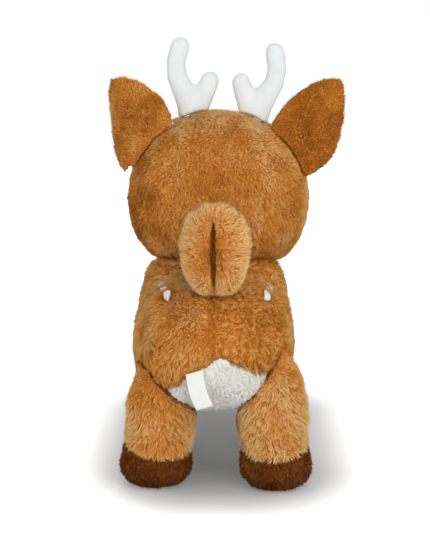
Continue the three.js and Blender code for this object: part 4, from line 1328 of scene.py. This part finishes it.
class DEER_OT_body(bpy.types.Operator):
    """Makes the body panels and the pale belly panel"""

    bl_idname = "deer.body"
    bl_label = "Body"

    def execute(self, context):
        make_body()
        return {"FINISHED"}


class DEER_OT_legs(bpy.types.Operator):
    """Makes the leg covers, hooves and soles"""

    bl_idname = "deer.legs"
    bl_label = "Legs"

    def execute(self, context):
        make_legs()
        return {"FINISHED"}


class DEER_OT_head(bpy.types.Operator):
    """Makes the head panels, gusset and muzzle"""

    bl_idname = "deer.head"
    bl_label = "Head"

    def execute(self, context):
        make_head()
        return {"FINISHED"}


class DEER_OT_ears(bpy.types.Operator):
    """Makes the ears"""

    bl_idname = "deer.ears"
    bl_label = "Ears"

    def execute(self, context):
        make_ears()
        return {"FINISHED"}


class DEER_OT_antlers(bpy.types.Operator):
    """Makes the antlers"""

    bl_idname = "deer.antlers"
    bl_label = "Antlers"

    def execute(self, context):
        make_antlers()
        return {"FINISHED"}


class DEER_OT_tail(bpy.types.Operator):
    """Makes the tail"""

    bl_idname = "deer.tail"
    bl_label = "Tail"

    def execute(self, context):
        make_tail()
        return {"FINISHED"}


class DEER_OT_spots(bpy.types.Operator):
    """Makes the white spots"""

    bl_idname = "deer.spots"
    bl_label = "Spots"

    def execute(self, context):
        make_spots()
        return {"FINISHED"}


class DEER_OT_filling(bpy.types.Operator):
    """Makes the fibre filling"""

    bl_idname = "deer.filling"
    bl_label = "Filling"

    def execute(self, context):
        make_filling()
        return {"FINISHED"}


class DEER_OT_eyes(bpy.types.Operator):
    """Makes the eyes"""

    bl_idname = "deer.eyes"
    bl_label = "Eyes"

    def execute(self, context):
        make_eyes()
        return {"FINISHED"}


class DEER_OT_nose(bpy.types.Operator):
    """Makes the nose and the stitched mouth"""

    bl_idname = "deer.nose"
    bl_label = "Nose and mouth"

    def execute(self, context):
        make_nose()
        return {"FINISHED"}


class DEER_OT_label(bpy.types.Operator):
    """Makes the ribbon label"""

    bl_idname = "deer.label"
    bl_label = "Label"

    def execute(self, context):
        make_label()
        return {"FINISHED"}


class DEER_OT_stage(bpy.types.Operator):
    """Makes the floor, the lamps and the camera"""

    bl_idname = "deer.stage"
    bl_label = "Studio"

    def execute(self, context):
        make_stage()
        return {"FINISHED"}


COVERS = (DEER_OT_body, DEER_OT_legs, DEER_OT_head, DEER_OT_ears, DEER_OT_antlers, DEER_OT_tail)
FITTINGS = (DEER_OT_spots, DEER_OT_filling, DEER_OT_eyes, DEER_OT_nose, DEER_OT_label)
OPERATORS = (*COVERS, *FITTINGS, DEER_OT_stage)


class DEER_PT_pieces(bpy.types.Panel):
    """Sizes, colours and pieces of the deer."""

    bl_label = "Plush deer"
    bl_space_type = "VIEW_3D"
    bl_region_type = "UI"
    bl_category = "Deer"

    def draw(self, context):
        for group in (context.scene.deer_sizes, context.scene.deer_colours):
            box = self.layout.box()
            for name in group.__annotations__:
                box.prop(group, name)
        for operator in OPERATORS:
            self.layout.operator(operator.bl_idname)


CLASSES = (DeerColours, DeerSizes, *OPERATORS, DEER_PT_pieces)


def register():
    for item in CLASSES:
        bpy.utils.register_class(item)
    bpy.types.Scene.deer_colours = bpy.props.PointerProperty(type=DeerColours)
    bpy.types.Scene.deer_sizes = bpy.props.PointerProperty(type=DeerSizes)


def unregister():
    del bpy.types.Scene.deer_sizes
    del bpy.types.Scene.deer_colours
    for item in reversed(CLASSES):
        bpy.utils.unregister_class(item)


def main():
    register()
    for operator in OPERATORS:
        getattr(bpy.ops.deer, operator.bl_idname.split(".")[1])()


if __name__ == "__main__":
    main()
